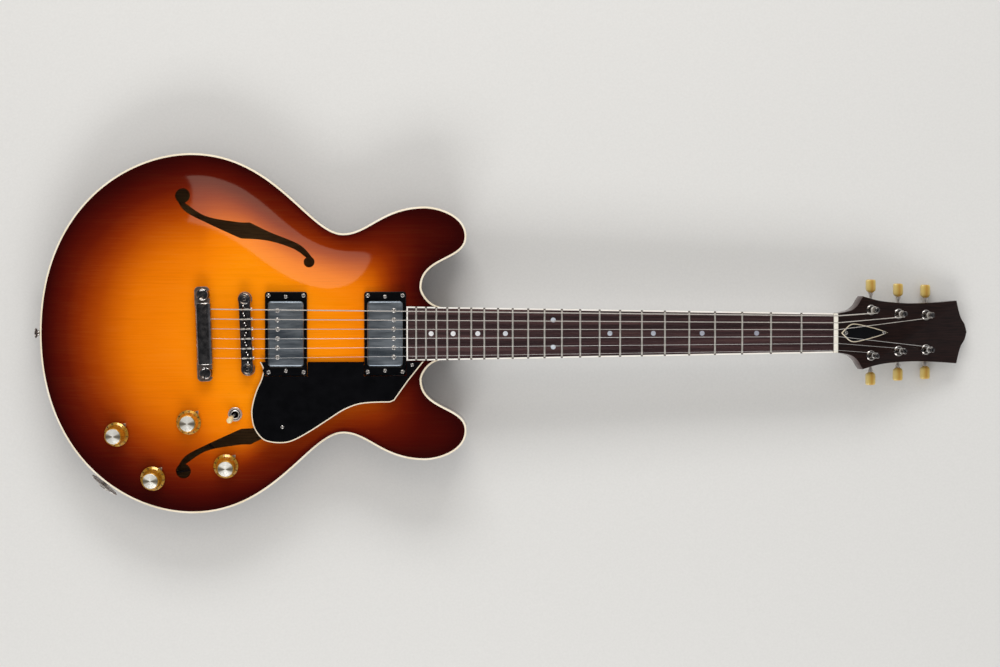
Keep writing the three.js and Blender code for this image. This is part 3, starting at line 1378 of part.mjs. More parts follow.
// Output jack in its plate on the side
function outputJack() {
  const half = JACK_PLATE_WIDTH / 2;
  const run = JACK_PLATE_LENGTH / 2 - half;
  const plateOutline = circle(0, 0, half, 16).map((p) => new THREE.Vector2(p.x + Math.sign(p.x) * run, p.y));
  const plateTop = JACK_PLATE_LIFT + JACK_PLATE_THICKNESS;
  const mouth = plateTop + JACK_NUT_HEIGHT;
  const plateBody = prism(plateOutline, JACK_PLATE_LIFT, plateTop);
  const cageTop = -LINING_WIDTH;
  const barrel = turned([
    [0, cageTop - JACK_CAGE_LENGTH],
    [JACK_CAGE_RADIUS, cageTop - JACK_CAGE_LENGTH],
    [JACK_CAGE_RADIUS, cageTop],
    [JACK_BARREL_RADIUS, cageTop],
    [JACK_BARREL_RADIUS, plateTop],
    [JACK_NUT_RADIUS, plateTop],
    [JACK_NUT_RADIUS, mouth],
    [0, mouth],
  ], 12);
  return cut(join(plateBody, barrel), rod(JACK_BORE_RADIUS, mouth - JACK_BORE_DEPTH, mouth + OVERRUN, 12));
}

add('output_jack', outputJack(), NICKEL, JACK);

// Strap buttons, each on its screw
function strapButton(base) {
  const head = base + STRAP_LENGTH;
  return turned([
    [0, -STRAP_SCREW_DEPTH],
    [STRAP_SCREW_RADIUS, -STRAP_SCREW_DEPTH],
    [STRAP_SCREW_RADIUS, base],
    [STRAP_BASE_RADIUS, base],
    [STRAP_NECK_RADIUS, base + STRAP_LENGTH * 0.35],
    [STRAP_NECK_RADIUS, base + STRAP_LENGTH * 0.55],
    [STRAP_HEAD_RADIUS, base + STRAP_LENGTH * 0.8],
    [STRAP_HEAD_RADIUS, head],
    [0, head],
  ], 10);
}

add('strap_button_end', shape(solid(strapButton(SEAT))), NICKEL, BUTT);

function heelButton() {
  return strapButton(SEAT).rotateX(Math.PI).translate(HEEL_BUTTON_X, 0, HEEL_BASE_Z);
}

add('strap_button_heel', shape(solid(heelButton())), NICKEL);

// Pickguard, held off the top by a spacer by the neck and a bracket past the sound hole
const GUARD_EDGE_SHARES = [
  [0, 0], [0.95, 0], [0.932, 0.09], [0.941, 0.206], [0.972, 0.358], [0.995, 0.533], [0.999, 0.665],
  [0.983, 0.82], [0.936, 0.952], [0.879, 0.995], [0.807, 1], [0.745, 0.962], [0.652, 0.853],
  [0.548, 0.71], [0.465, 0.599], [0.383, 0.53], [0.3, 0.508], [0.196, 0.503], [0.17, 0.479],
  [0.093, 0.248],
];

function guardMatrix() {
  const seat = new THREE.Object3D();
  seat.position.set(GUARD_NECK_X, GUARD_EDGE_Y, GUARD_NECK_Z);
  seat.rotation.y = toRadians(GUARD_ANGLE);
  seat.updateMatrix();
  return seat.matrix;
}

function pickguard() {
  const matrix = guardMatrix();
  const outline = GUARD_EDGE_SHARES.map(([along, across]) => new THREE.Vector2(
    -along * GUARD_LENGTH,
    -across * GUARD_WIDTH,
  ));
  const sheet = prism(outline, 0, GUARD_THICKNESS).applyMatrix4(matrix);
  const [footX, footY] = GUARD_SPACERS[1];
  const bracket = block(
    footX - GUARD_NECK_X - GUARD_BRACKET_WIDTH / 2,
    footX - GUARD_NECK_X + GUARD_BRACKET_WIDTH / 2,
    footY - GUARD_EDGE_Y - GUARD_BRACKET_WIDTH / 2,
    footY - GUARD_EDGE_Y - GUARD_BRACKET_WIDTH / 2 + GUARD_BRACKET_LENGTH,
    -GUARD_BRACKET_THICKNESS,
    GUARD_THICKNESS / 2,
  ).applyMatrix4(matrix);
  const spacers = GUARD_SPACERS.map(([x, y]) => {
    const top = GUARD_NECK_Z + (GUARD_NECK_X - x) * Math.tan(toRadians(GUARD_ANGLE)) + GUARD_THICKNESS / 2;
    return cut(moved(rod(GUARD_SPACER_RADIUS, EDGE_TOP - PLATE_THICKNESS, top, 8), x, y, 0), OVER_TOP);
  });
  const gap = GUARD_CLEARANCE;
  const notches = [BRIDGE_PICKUP_X, NECK_PICKUP_X].map((x) => block(
    x - RING_WIDTH / 2 - gap,
    x + RING_WIDTH / 2 + gap,
    -RING_LENGTH / 2 - gap,
    0,
    EDGE_TOP,
    SADDLE_HEIGHT,
  ));
  return cut(join(sheet, bracket, ...spacers), ...notches);
}

add('pickguard', pickguard(), BLACK_PLASTIC);

// Strings: ball behind the tailpiece, over saddle and nut, wound round the post
function wrap(index) {
  const { x, y, side } = postPlace(index);
  const radius = STRING_RADII[index];
  const around = (POST_WAIST_RADIUS + radius + STRING_SEAT) / Math.cos(Math.PI / WRAP_STEPS);
  const pitch = 2 * radius + WRAP_GAP;
  const turns = STRING_TURNS[index];
  const points = [];
  for (let i = 0; i <= turns * WRAP_STEPS; i += 1) {
    const angle = -side * (Math.PI / 2) + side * (i / WRAP_STEPS) * Math.PI * 2;
    points.push(new THREE.Vector3(
      x + around * Math.cos(angle),
      y + around * Math.sin(angle),
      WRAP_TOP - pitch * (i / WRAP_STEPS),
    ));
  }
  const last = points[points.length - 1];
  points.push(new THREE.Vector3(last.x + STRING_STUB, last.y, last.z));
  return points;
}

function leastGap(points, radius) {
  let least = Infinity;
  points.forEach((p, i) => {
    points.slice(i + WRAP_STEPS / 2).forEach((q) => {
      least = Math.min(least, p.distanceTo(q) - 2 * radius);
    });
  });
  return least;
}

function stringPath(index) {
  const y = spreadPlace(index, BRIDGE_STRING_SPREAD);
  const crest = new THREE.Vector3(SADDLE_SETTINGS[index], y, 0).applyMatrix4(BRIDGE.matrix);
  const reach = TAILPIECE_WIDTH / 2 + STRING_SEAT;
  const [anchor, back, front] = [-reach - STRING_BALL_LENGTH, -reach, reach]
    .map((x) => new THREE.Vector3(x, y, TAILPIECE_Z).applyMatrix4(TAILPIECE.matrix));
  const nutY = spreadPlace(index, NUT_STRING_SPREAD);
  const nutZ = nutStringHeight(index);
  return [
    anchor,
    back,
    back.clone(),
    front,
    new THREE.Vector3(crest.x, crest.y, saddleStringHeight(index)),
    new THREE.Vector3(NUT_X, nutY, nutZ),
    new THREE.Vector3(NUT_X + NUT_THICKNESS, nutY, nutZ),
  ];
}

for (let i = 0; i < STRING_COUNT; i += 1) {
  const radius = STRING_RADII[i];
  const turns = wrap(i);
  console.log(`string ${i + 1}: least gap between turns ${leastGap(turns, radius).toFixed(3)} mm`);
  const path = [...stringPath(i), ...turns.map((p) => p.applyMatrix4(HEAD))];
  const radii = path.map((_, k) => (k < 2 ? STRING_BALL_RADIUS : radius));
  add(`string_${i + 1}`, shape(solid(tube(path, radii, 5))), STEEL);
}

export default guitar;
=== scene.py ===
from math import atan, copysign, cos, degrees, pi, radians, sin, sqrt, tan, tau

import bmesh
import bpy
import numpy as np
from mathutils import Matrix, Vector


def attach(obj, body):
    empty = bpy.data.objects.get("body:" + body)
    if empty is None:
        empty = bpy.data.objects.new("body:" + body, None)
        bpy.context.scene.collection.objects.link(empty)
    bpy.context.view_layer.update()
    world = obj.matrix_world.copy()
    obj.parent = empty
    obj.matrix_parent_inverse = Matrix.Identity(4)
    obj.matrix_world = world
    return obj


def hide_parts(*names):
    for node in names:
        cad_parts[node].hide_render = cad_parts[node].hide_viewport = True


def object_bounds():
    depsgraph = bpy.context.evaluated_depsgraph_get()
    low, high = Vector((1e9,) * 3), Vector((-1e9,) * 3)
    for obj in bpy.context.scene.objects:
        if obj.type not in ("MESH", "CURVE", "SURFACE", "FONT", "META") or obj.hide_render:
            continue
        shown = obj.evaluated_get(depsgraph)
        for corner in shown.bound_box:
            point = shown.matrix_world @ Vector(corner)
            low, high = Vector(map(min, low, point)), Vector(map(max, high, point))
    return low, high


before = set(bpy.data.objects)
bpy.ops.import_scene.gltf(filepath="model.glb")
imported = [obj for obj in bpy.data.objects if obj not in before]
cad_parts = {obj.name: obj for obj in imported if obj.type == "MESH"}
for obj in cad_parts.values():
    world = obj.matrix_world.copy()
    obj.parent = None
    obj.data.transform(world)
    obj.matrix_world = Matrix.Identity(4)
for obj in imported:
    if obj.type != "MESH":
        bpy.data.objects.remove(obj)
cad_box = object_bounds()

# Camera: looks almost straight down on the guitar from two and a half metres, as the photographer's did.
camera = bpy.data.objects.new("camera", bpy.data.cameras.new("camera"))
camera.data.sensor_width = 36
camera.data.lens = 87.16
camera.data.clip_end = 60
camera.location = (0.2689, 0.060, 2.651)
camera.rotation_euler = (radians(-1.322), 0, 0)
bpy.context.collection.objects.link(camera)
bpy.context.scene.camera = camera
bpy.context.scene.view_settings.view_transform = "Standard"


# Materials are written as expressions: a Wire is one number or colour that leaves a node,
# and a Finish is one material that nodes are added to.
class Wire:
    def __init__(self, finish, socket):
        self.finish = finish
        self.socket = socket

    def maths(self, operation, first, second):
        return self.finish.node("Math", {"operation": operation}, {0: first, 1: second})

    def __add__(self, other):
        return self.maths("ADD", self, other)

    def __sub__(self, other):
        return self.maths("SUBTRACT", self, other)

    def __rsub__(self, other):
        return self.maths("SUBTRACT", other, self)

    def __mul__(self, other):
        return self.maths("MULTIPLY", self, other)

    __radd__ = __add__
    __rmul__ = __mul__


class Finish:
    def __init__(self, name, tree=None):
        if tree is None:
            self.material = bpy.data.materials.new(name)
            self.material.use_nodes = True
            tree = self.material.node_tree
        tree.nodes.clear()
        self.tree = tree

    def node(self, kind, settings, values, result=0):
        made = self.tree.nodes.new("ShaderNode" + kind)
        for key, value in settings.items():
            if key == "stops":
                band = made.color_ramp
                while len(band.elements) < len(value):
                    band.elements.new(1)
                for element, (at, colour) in zip(band.elements, value):
                    element.position = at
                    element.color = colour
            else:
                setattr(made, key, value)
        for key, value in values.items():
            if isinstance(key, int):
                socket = made.inputs[key]
            else:
                socket = next(s for s in made.inputs if s.identifier == key)
            if isinstance(value, Wire):
                self.tree.links.new(value.socket, socket)
            else:
                socket.default_value = value
        return Wire(self, made.outputs[result]) if len(made.outputs) else None

    def noise(self, scale, detail=3, roughness=0.55, distortion=0, turn=(0, 0, 0)):
        here = self.node("TexCoord", {}, {}, "Object")
        spread = self.node("Mapping", {}, {"Vector": here, "Rotation": turn, "Scale": scale})
        values = {
            "Vector": spread, "Scale": 1, "Detail": detail, "Roughness": roughness, "Distortion": distortion
        }
        return self.node("TexNoise", {}, values)

    def attribute(self, name):
        return self.node("Attribute", {"attribute_name": name}, {}, "Fac")

    def ramp(self, factor, *stops):
        return self.node("ValToRGB", {"stops": [(at, tone(code)) for at, code in stops]}, {"Fac": factor})

    def between(self, factor, low, high):
        settings = {"clamp": True}
        return self.node("MapRange", settings, {"Value": factor, "From Min": low, "From Max": high})

    def mix(self, factor, first, second, way="MIX"):
        settings = {"data_type": "RGBA", "blend_type": way}
        first, second = [tone(colour) if isinstance(colour, str) else colour for colour in (first, second)]
        return self.node("Mix", settings, {"Factor_Float": factor, "A_Color": first, "B_Color": second}, 2)

    def bump(self, height, depth):
        return self.node("Bump", {}, {"Height": height, "Strength": 1.0, "Distance": depth})

    def surface(self, **values):
        named = {key.replace("_", " "): value for key, value in values.items()}
        self.node("OutputMaterial", {}, {"Surface": self.node("BsdfPrincipled", {}, named)})
        return self.material


def tone(code):
    parts = [int(code[i : i + 2], 16) / 255 for i in (0, 2, 4)]
    return (*[p / 12.92 if p <= 0.04045 else ((p + 0.055) / 1.055) ** 2.4 for p in parts], 1)


def mottled(name, scale, dark, light, detail=3, low=0.3, high=0.7, **values):
    """A material whose colour wanders between two tones."""
    finish = Finish(name)
    return finish.surface(
        Base_Color=finish.ramp(finish.noise(scale, detail), (low, dark), (high, light)), **values
    )


# Studio: a pale floor that touches the back and the tip of the head, which lies lower than the back,
# a pale room with a dim ceiling, and three soft lamps.
FLOOR_SLOPE = radians(2.457)
FLOOR_TOUCH = (-0.1172, 0, -0.0002)
sheet = bmesh.new()
bmesh.ops.create_grid(sheet, x_segments=8, y_segments=8, size=9)
bmesh.ops.rotate(sheet, verts=sheet.verts[:], cent=(0, 0, 0), matrix=Matrix.Rotation(FLOOR_SLOPE, 3, "Y"))
bmesh.ops.translate(sheet, verts=sheet.verts[:], vec=FLOOR_TOUCH)
floor_mesh = bpy.data.meshes.new("floor")
sheet.to_mesh(floor_mesh)
sheet.free()
floor = bpy.data.objects.new("floor", floor_mesh)
bpy.context.collection.objects.link(floor)
floor_mesh.materials.append(
    mottled("floor_paper", (400, 400, 400), "d9d8d5", "dddcd9", 4, Roughness=0.9, Specular_IOR_Level=0.1)
)

world = bpy.data.worlds.new("studio")
bpy.context.scene.world = world
world.use_nodes = True
room = Finish("studio", world.node_tree)
way = room.node("TexCoord", {}, {}, "Generated")
upward = room.node("SeparateXYZ", {}, {"Vector": way}, "Z")
along = room.node("SeparateXYZ", {}, {"Vector": way}, "X")
aside = along.maths("ABSOLUTE", along, 0) * 0.5 - along.maths("MAXIMUM", along, 0) * upward * 0.7
walls = room.ramp(upward + aside, (0.0, "dcdbd8"), (0.3, "d2d2d0"), (0.55, "7c7e83"), (0.8, "2c2e33"))
rays = [
    room.node("LightPath", {}, {}, kind) for kind in (
        "Is Camera Ray", "Is Glossy Ray", "Is Transmission Ray"
    )
]
shown = rays[0].maths("MAXIMUM", rays[0], rays[1].maths("MAXIMUM", rays[1], rays[2]))
light = room.node("Background", {}, {"Color": (0.56, 0.56, 0.56, 1), "Strength": 1.0})
seen = room.node("Background", {}, {"Color": walls, "Strength": 1.0})
both = room.node("MixShader", {}, {0: shown, 1: light, 2: seen})
room.node("OutputWorld", {}, {"Surface": both})


def soft_lamp(name, place, aim, width, depth, power, colour=(1, 1, 1), twist=0):
    lamp = bpy.data.lights.new(name, "AREA")
    lamp.shape = "RECTANGLE"
    lamp.size = width
    lamp.size_y = depth
    lamp.energy = power
    lamp.color = colour
    holder = bpy.data.objects.new(name, lamp)
    holder.location = place
    facing = (Vector(aim) - Vector(place)).to_track_quat("-Z", "Y").to_matrix()
    holder.rotation_euler = (facing @ Matrix.Rotation(radians(twist), 3, "Z")).to_euler()
    bpy.context.collection.objects.link(holder)


soft_lamp("lamp_over_bass_side", (0.06, 0.95, 2.1), (0.06, 0.5, 0), 0.7, 0.64, 2.4, (1, 0.82, 0.66), -15)
soft_lamp("lamp_bass_side", (0.2, 2.1, 1.5), (0.1, 0, 0), 1.8, 0.8, 31)
soft_lamp("lamp_treble_side", (0.1, -2.1, 1.5), (0.1, 0, 0), 1.8, 0.8, 27)

# Body outline: six curves for one half, mirrored across the centre line. All sizes are millimetres.
MM = 0.001
BODY_STATIONS = [
    (-225.5, 0), (-62, 193.5), (100.5, 107.5), (188, 136.3), (233, 104), (184.5, 49.5), (213, 27.6)
]
ALONG, ASIDE, BACK = (1, 0), (0, 1), (0, -1)
BODY_WAYS = [(ASIDE, ALONG), (ALONG, ALONG), (ALONG, ALONG), (ALONG, BACK), (BACK, BACK), (BACK, ALONG)]
BODY_FULLNESS = [(0.7, 0.43), (0.55, 0.22), (0.3, 0.52), (0.31, 0.74), (0.49, 0.6), (0.14, 0.8)]
BODY_STEPS = [10, 6, 4, 5, 4, 3]
NECK_JOINT = 213
BACK_RISE = 10
EDGE_TOP = 52
ARCH_RISE = 12
PLATE = 4.8
ARCH_REACH = 90
LINING = 8.5
SEAT = 0.3


def body_outline(finer):
    half = []
    for i, (leave, arrive) in enumerate(BODY_WAYS):
        start, end = np.array(BODY_STATIONS[i], float), np.array(BODY_STATIONS[i + 1], float)
        leave, arrive = np.array(leave), np.array(arrive)
        span = np.abs(end - start)
        first = start + leave * BODY_FULLNESS[i][0] * (np.abs(leave) @ span)
        second = end - arrive * BODY_FULLNESS[i][1] * (np.abs(arrive) @ span)
        steps = BODY_STEPS[i] * finer
        t = np.arange(steps)[:, None] / steps
        half.append(
            (1 - t) ** 3 * start + 3 * (1 - t) ** 2 * t * first + 3 * (1 - t) * t * t * second + t**3 * end
        )
    half = np.vstack([*half, np.array([BODY_STATIONS[-1]], float)])
    return np.vstack([half[::-1], half[1:] * (1, -1), [[NECK_JOINT, 0]]])


COARSE = body_outline(1)
OUTLINE = body_outline(5)


def inset(points, distance):
    before, after = np.roll(points, 1, axis=0), np.roll(points, -1, axis=0)
    first = np.stack([before[:, 1] - points[:, 1], points[:, 0] - before[:, 0]], axis=1)
    second = np.stack([points[:, 1] - after[:, 1], after[:, 0] - points[:, 0]], axis=1)
    first /= np.linalg.norm(first, axis=1)[:, None]
    second /= np.linalg.norm(second, axis=1)[:, None]
    stretch = distance / (1 + (first * second).sum(axis=1))
    return points + (first + second) * stretch[:, None]


def edge_distance(places, outline=COARSE):
    places = np.asarray(places, float).reshape(-1, 2)
    after = np.roll(outline, -1, axis=0)
    length = np.linalg.norm(after - outline, axis=1)
    way = (after - outline) / length[:, None]
    away = places[:, None, :] - outline[None]
    along = (away * way).sum(axis=2)
    square = np.maximum((away**2).sum(axis=2) - along * along, 1e-9)
    start = -along / np.sqrt(along**2 + square)
    end = (length - along) / np.sqrt((length - along) ** 2 + square)
    return np.sqrt(2 / ((end - start) / square).sum(axis=1))


def arch(places):
    share = np.clip((edge_distance(places) - LINING) / (ARCH_REACH - LINING), 0, 1)
    return share * share * (3 - 2 * share)


def top_height(x, y):
    return EDGE_TOP + ARCH_RISE * float(arch([(x, y)])[0])


def seat_on_top(x, y):
    slope_x = (top_height(x + SEAT, y) - top_height(x - SEAT, y)) / (2 * SEAT)
    slope_y = (top_height(x, y + SEAT) - top_height(x, y - SEAT)) / (2 * SEAT)
    lean = Vector((0, 0, 1)).rotation_difference(Vector((-slope_x, -slope_y, 1)))
    return Matrix.Translation((x, y, top_height(x, y))) @ lean.to_matrix().to_4x4()


# Shapes common to many pieces: a bmesh in millimetres is filled, then made a piece of the guitar.
def prism(mesh, points, bottom, top):
    corners = [mesh.verts.new((x, y, bottom)) for x, y in points]
    base = mesh.faces.new(corners)
    raised = bmesh.ops.extrude_face_region(mesh, geom=[base])["geom"]
    lifted = [v for v in raised if isinstance(v, bmesh.types.BMVert)]
    bmesh.ops.translate(mesh, verts=lifted, vec=(0, 0, top - bottom))
    return mesh


def lofted(mesh, loops, closed=False):
    rings = [[mesh.verts.new(p) for p in loop] for loop in loops]
    pairs = list(zip(rings, rings[1:])) + ([(rings[-1], rings[0])] if closed else [])
    count = len(rings[0])
    for near, far in pairs:
        for i in range(count):
            j = (i + 1) % count
            mesh.faces.new((near[i], near[j], far[j], far[i]))
    if not closed:
        mesh.faces.new(rings[0][::-1])
        mesh.faces.new(rings[-1])
    return mesh


def turned(mesh, profile, steps=32, place=None):
    verts = [mesh.verts.new((radius, 0, height)) for radius, height in profile]
    edges = [mesh.edges.new(pair) for pair in zip(verts, verts[1:])]
    bmesh.ops.spin(
        mesh, geom=verts + edges, cent=(0, 0, 0), axis=(0, 0, 1), angle=tau, steps=steps, use_merge=True
    )
    whole = linked_to(verts[len(verts) // 2]) | linked_to(verts[0])
    bmesh.ops.remove_doubles(mesh, verts=[v for v in mesh.verts if v in whole], dist=1e-4)
    if place is not None:
        bmesh.ops.transform(mesh, matrix=place, verts=[v for v in whole if v.is_valid])
    return mesh


def linked_to(start):
    reached, waiting = {start}, [start]
    while waiting:
        for edge in waiting.pop().link_edges:
            for vert in edge.verts:
                if vert not in reached:
                    reached.add(vert)
                    waiting.append(vert)
    return reached


def stamped(mesh, master, place):
    """Adds a copy of another bmesh at a place."""
    held = bpy.data.meshes.new("stamp")
    master.to_mesh(held)
    held.transform(place)
    mesh.from_mesh(held)
    bpy.data.meshes.remove(held)


def shifted(x, y, z):
    return Matrix.Translation((x, y, z))


def turning(angle, axis):
    return Matrix.Rotation(radians(angle), 4, axis)


def carve(mesh, tool, operation="DIFFERENCE"):
    """Cuts one bmesh with another, or keeps what they share, and returns the new bmesh."""
    holders = []
    for source in (mesh, tool):
        bmesh.ops.recalc_face_normals(source, faces=source.faces[:])
        held = bpy.data.meshes.new("carving")
        source.to_mesh(held)
        source.free()
        holder = bpy.data.objects.new("carving", held)
        bpy.context.collection.objects.link(holder)
        holders.append(holder)
    modifier = holders[0].modifiers.new("carving", "BOOLEAN")
    modifier.operation = operation
    modifier.solver = "EXACT"
    modifier.object = holders[1]
    shown_at = bpy.context.evaluated_depsgraph_get()
    result = bmesh.new()
    carved = holders[0].evaluated_get(shown_at).to_mesh()
    result.from_mesh(carved)
    for holder in holders:
        held = holder.data
        bpy.data.objects.remove(holder)
        bpy.data.meshes.remove(held)
    return result


def piece(name, mesh, finishes, body="guitar", stands_for=None, place=None, crease=32, closed=True):
    bmesh.ops.remove_doubles(mesh, verts=mesh.verts[:], dist=1e-4)
    bmesh.ops.dissolve_degenerate(mesh, dist=1e-5, edges=mesh.edges[:])
    if place is not None:
        mesh.transform(place)
    mesh.transform(Matrix.Scale(MM, 4))
    if closed:
        bmesh.ops.recalc_face_normals(mesh, faces=mesh.faces[:])
    made = bpy.data.meshes.new(name)
    mesh.to_mesh(made)
    mesh.free()
    for finish in finishes:
        made.materials.append(finish)
    made.shade_smooth()
    made.set_sharp_from_angle(angle=radians(crease))
    thing = bpy.data.objects.new(name, made)
    bpy.context.collection.objects.link(thing)
    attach(thing, body)
    if stands_for:
        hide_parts(stands_for)
    return thing


def marked(thing, name, values):
    mark = thing.data.attributes.new(name, "FLOAT", "POINT")
    mark.data.foreach_set("value", np.asarray(values, np.float32))


def second_finish(thing, wanted):
    """Gives the faces that pass a test the second material of their piece."""
    for face in thing.data.polygons:
        if wanted(face):
            face.material_index = 1


def points_of(thing):
    flat = np.zeros(len(thing.data.vertices) * 3)
    thing.data.vertices.foreach_get("co", flat)
    return flat.reshape(-1, 3) / MM


def circle(x, y, radius, steps):
    angles = [i / steps * tau for i in range(steps)]
    return [(x + radius * cos(a), y + radius * sin(a)) for a in angles]


def at_height(points, z):
    return [(x, y, z) for x, y in points]


def box(mesh, x0, x1, y0, y1, z0, z1):
    return prism(mesh, [(x0, y0), (x1, y0), (x1, y1), (x0, y1)], z0, z1)


# Arched top: laminated maple pressed to its arch, with two sound holes and the cut-outs for the hardware.
# It is sprayed from amber at the middle to oxblood at the rim, and lacquered.
SOUND_HOLE_PLACE = (-3.35, 112.2)
SOUND_HOLE_LENGTH = 153
SOUND_HOLE_ANGLE = -27.65
EYE_RADII = (8, 5.8)
OUTER_EDGE = [
    [(-0.456, -0.037), (-0.286, -0.05), (-0.078, 0.014), (0.004, 0.053)],
    [(0.004, 0.053), (0.162, 0.058), (0.39, 0.076), (0.529, 0.025)],
]
INNER_EDGE = [
    [(0.47, 0.017), (0.357, 0.031), (0.176, -0.001), (0.002, -0.075)],
    [(0.002, -0.075), (-0.242, -0.088), (-0.436, -0.087), (-0.546, -0.024)],
]
BRIDGE_PICKUP_X, NECK_PICKUP_X = 40.6, 146
BRIDGE = shifted(-1.8, 0, 0) @ turning(2.4, "Z")
TAILPIECE = shifted(-46.4, 0, 0) @ turning(2, "Z")
KNOB_PLACES = [(-142, -107.8), (-63.9, -94.5), (-103.9, -155.4), (-25.3, -141.9)]
KNOB_SEATS = [seat_on_top(x, y) for x, y in KNOB_PLACES]
SWITCH_SEAT = seat_on_top(-14.6, -86.2)
BRIDGE_POST_Y, TAIL_POST_Y = 37.3, 41.85
BRIDGE_POSTS = [BRIDGE @ Vector((0, side * BRIDGE_POST_Y, 0)) for side in (1, -1)]
TAILPIECE_POSTS = [TAILPIECE @ Vector((0, side * TAIL_POST_Y, 0)) for side in (1, -1)]
TENON_HALF = 19.3
TENON_SLOT = (170.7, 216)
PICKUP_CUTOUT = (20.2, 41.8)
BRIDGE_STUD_HOLE, TAILPIECE_STUD_HOLE, KNOB_HOLE, SWITCH_HOLE = 2.6, 6.5, 5.3, 6.9
SHEET_LENGTH, SHEET_WIDTH, SHEET_MIDDLE = 464, 392, 4
THROUGH = 20


def spline(points, steps):
    points = [np.array(p, float) for p in points]
    last = len(points) - 1
    result = []
    for k in range(steps):
        i = int(last * k / steps)
        w = last * k / steps - i
        p0, p1 = points[max(i - 1, 0)], points[i]
        p2, p3 = points[min(i + 1, last)], points[min(i + 2, last)]
        v0, v1 = (p2 - p0) / 2, (p3 - p1) / 2
        result.append(
            (2 * p1 - 2 * p2 + v0 + v1) * w**3 + (3 * p2 - 3 * p1 - 2 * v0 - v1) * w**2 + v0 * w + p1
        )
    return [tuple(p) for p in result]


def sound_holes(side, part):
    mesh = bmesh.new()
    if part == "stem":
        shares = [p for edge in OUTER_EDGE + INNER_EDGE for p in spline(edge, 16)]
        prism(mesh, [(x * SOUND_HOLE_LENGTH, y * SOUND_HOLE_LENGTH) for x, y in shares], -THROUGH, THROUGH)
    else:
        for end, radius in zip((-0.5, 0.5), EYE_RADII):
            prism(mesh, circle(end * SOUND_HOLE_LENGTH, 0, radius, 40), -THROUGH, THROUGH)
    place = shifted(*SOUND_HOLE_PLACE, 0) @ turning(SOUND_HOLE_ANGLE, "Z")
    mesh.transform(Matrix.Diagonal((1, side, 1, 1)) @ place)
    return mesh


def gathered(*parts):
    whole = bmesh.new()
    for part in parts:
        bmesh.ops.recalc_face_normals(part, faces=part.faces[:])
        stamped(whole, part, Matrix.Identity(4))
        part.free()
    return whole


def square_sheet(cell):
    """A slab of small squares as large as the body, a plate thick, with its top at height 0."""
    mesh = bmesh.new()
    bmesh.ops.create_grid(
        mesh, x_segments=round(SHEET_LENGTH / cell), y_segments=round(SHEET_WIDTH / cell), size=0.5
    )
    bmesh.ops.scale(mesh, vec=(SHEET_LENGTH, SHEET_WIDTH, 1), verts=mesh.verts[:])
    bmesh.ops.translate(mesh, vec=(SHEET_MIDDLE, 0, 0), verts=mesh.verts[:])
    raised = bmesh.ops.extrude_face_region(mesh, geom=mesh.faces[:])["geom"]
    lower = [v for v in raised if isinstance(v, bmesh.types.BMVert)]
    bmesh.ops.translate(mesh, verts=lower, vec=(0, 0, -PLATE))
    return mesh


def post_holes():
    tools = []
    for place, radius in (
        [(p, BRIDGE_STUD_HOLE) for p in BRIDGE_POSTS]
        + [(p, TAILPIECE_STUD_HOLE) for p in TAILPIECE_POSTS]
        + [(s.translation, KNOB_HOLE) for s in KNOB_SEATS]
        + [(SWITCH_SEAT.translation, SWITCH_HOLE)]
    ):
        tools.append(prism(bmesh.new(), circle(place.x, place.y, radius, 28), -THROUGH, THROUGH))
    return tools


def pickup_cutouts():
    half_x, half_y = PICKUP_CUTOUT
    return [
        box(bmesh.new(), x - half_x, x + half_x, -half_y, half_y, -THROUGH, THROUGH)
        for x in (BRIDGE_PICKUP_X, NECK_PICKUP_X)
    ]


def tenon_slot(low, high):
    return box(bmesh.new(), *TENON_SLOT, -TENON_HALF, TENON_HALF, low, high)


top = carve(square_sheet(4), prism(bmesh.new(), inset(OUTLINE, 2), -9, 9), "INTERSECT")
stems = [sound_holes(side, "stem") for side in (1, -1)]
top = carve(top, gathered(*stems, *post_holes(), *pickup_cutouts(), tenon_slot(-THROUGH, THROUGH)))
top = carve(top, gathered(*[sound_holes(side, "eye") for side in (1, -1)]))
flat = np.array([v.co.xy for v in top.verts])
for vert, share in zip(top.verts, arch(flat)):
    vert.co.z += EDGE_TOP + ARCH_RISE * share

sunburst = Finish("sunburst_lacquer")
spray = sunburst.attribute("spray")
cloud = sunburst.noise((14, 14, 14), 2)
burst = sunburst.ramp(
    spray + (cloud - 0.5) * 0.03,
    (0.026, "2e0403"),
    (0.12, "4a0a03"),
    (0.225, "631603"),
    (0.33, "862a02"),
    (0.43, "a84201"),
    (0.535, "cc5f01"),
    (0.64, "e97701"),
    (0.75, "f68301"),
    (0.88, "fb8c02"),
    (1.0, "ffa006"),
)
fibre = sunburst.noise((18, 1100, 200), 4, 0.6)
cloudy = sunburst.noise((9, 30, 30), 3)
fleck = sunburst.between(sunburst.noise((120, 1900, 300), 2), 0.66, 0.8)
figure = (fibre - 0.5) * 0.4 + (cloudy - 0.5) * 0.2
lighter = sunburst.mix(
    sunburst.between(figure, 0, 0.5) * spray, burst, sunburst.mix(0.35, burst, "ffc060"), "MIX"
)
darker = sunburst.mix(
    sunburst.between(0 - figure, 0, 0.5) * 0.5 + fleck * 0.15, lighter, "5a1602", "MULTIPLY"
)
top_lacquer = sunburst.surface(
    Base_Color=darker,
    Roughness=0.5,
    Specular_IOR_Level=0.0,
    Coat_Weight=0.9,
    Coat_Roughness=0.055,
    Normal=sunburst.bump(fibre, 0.00003),
)

top_plate = piece("top_plate_arched", top, [top_lacquer], stands_for="top_plate")
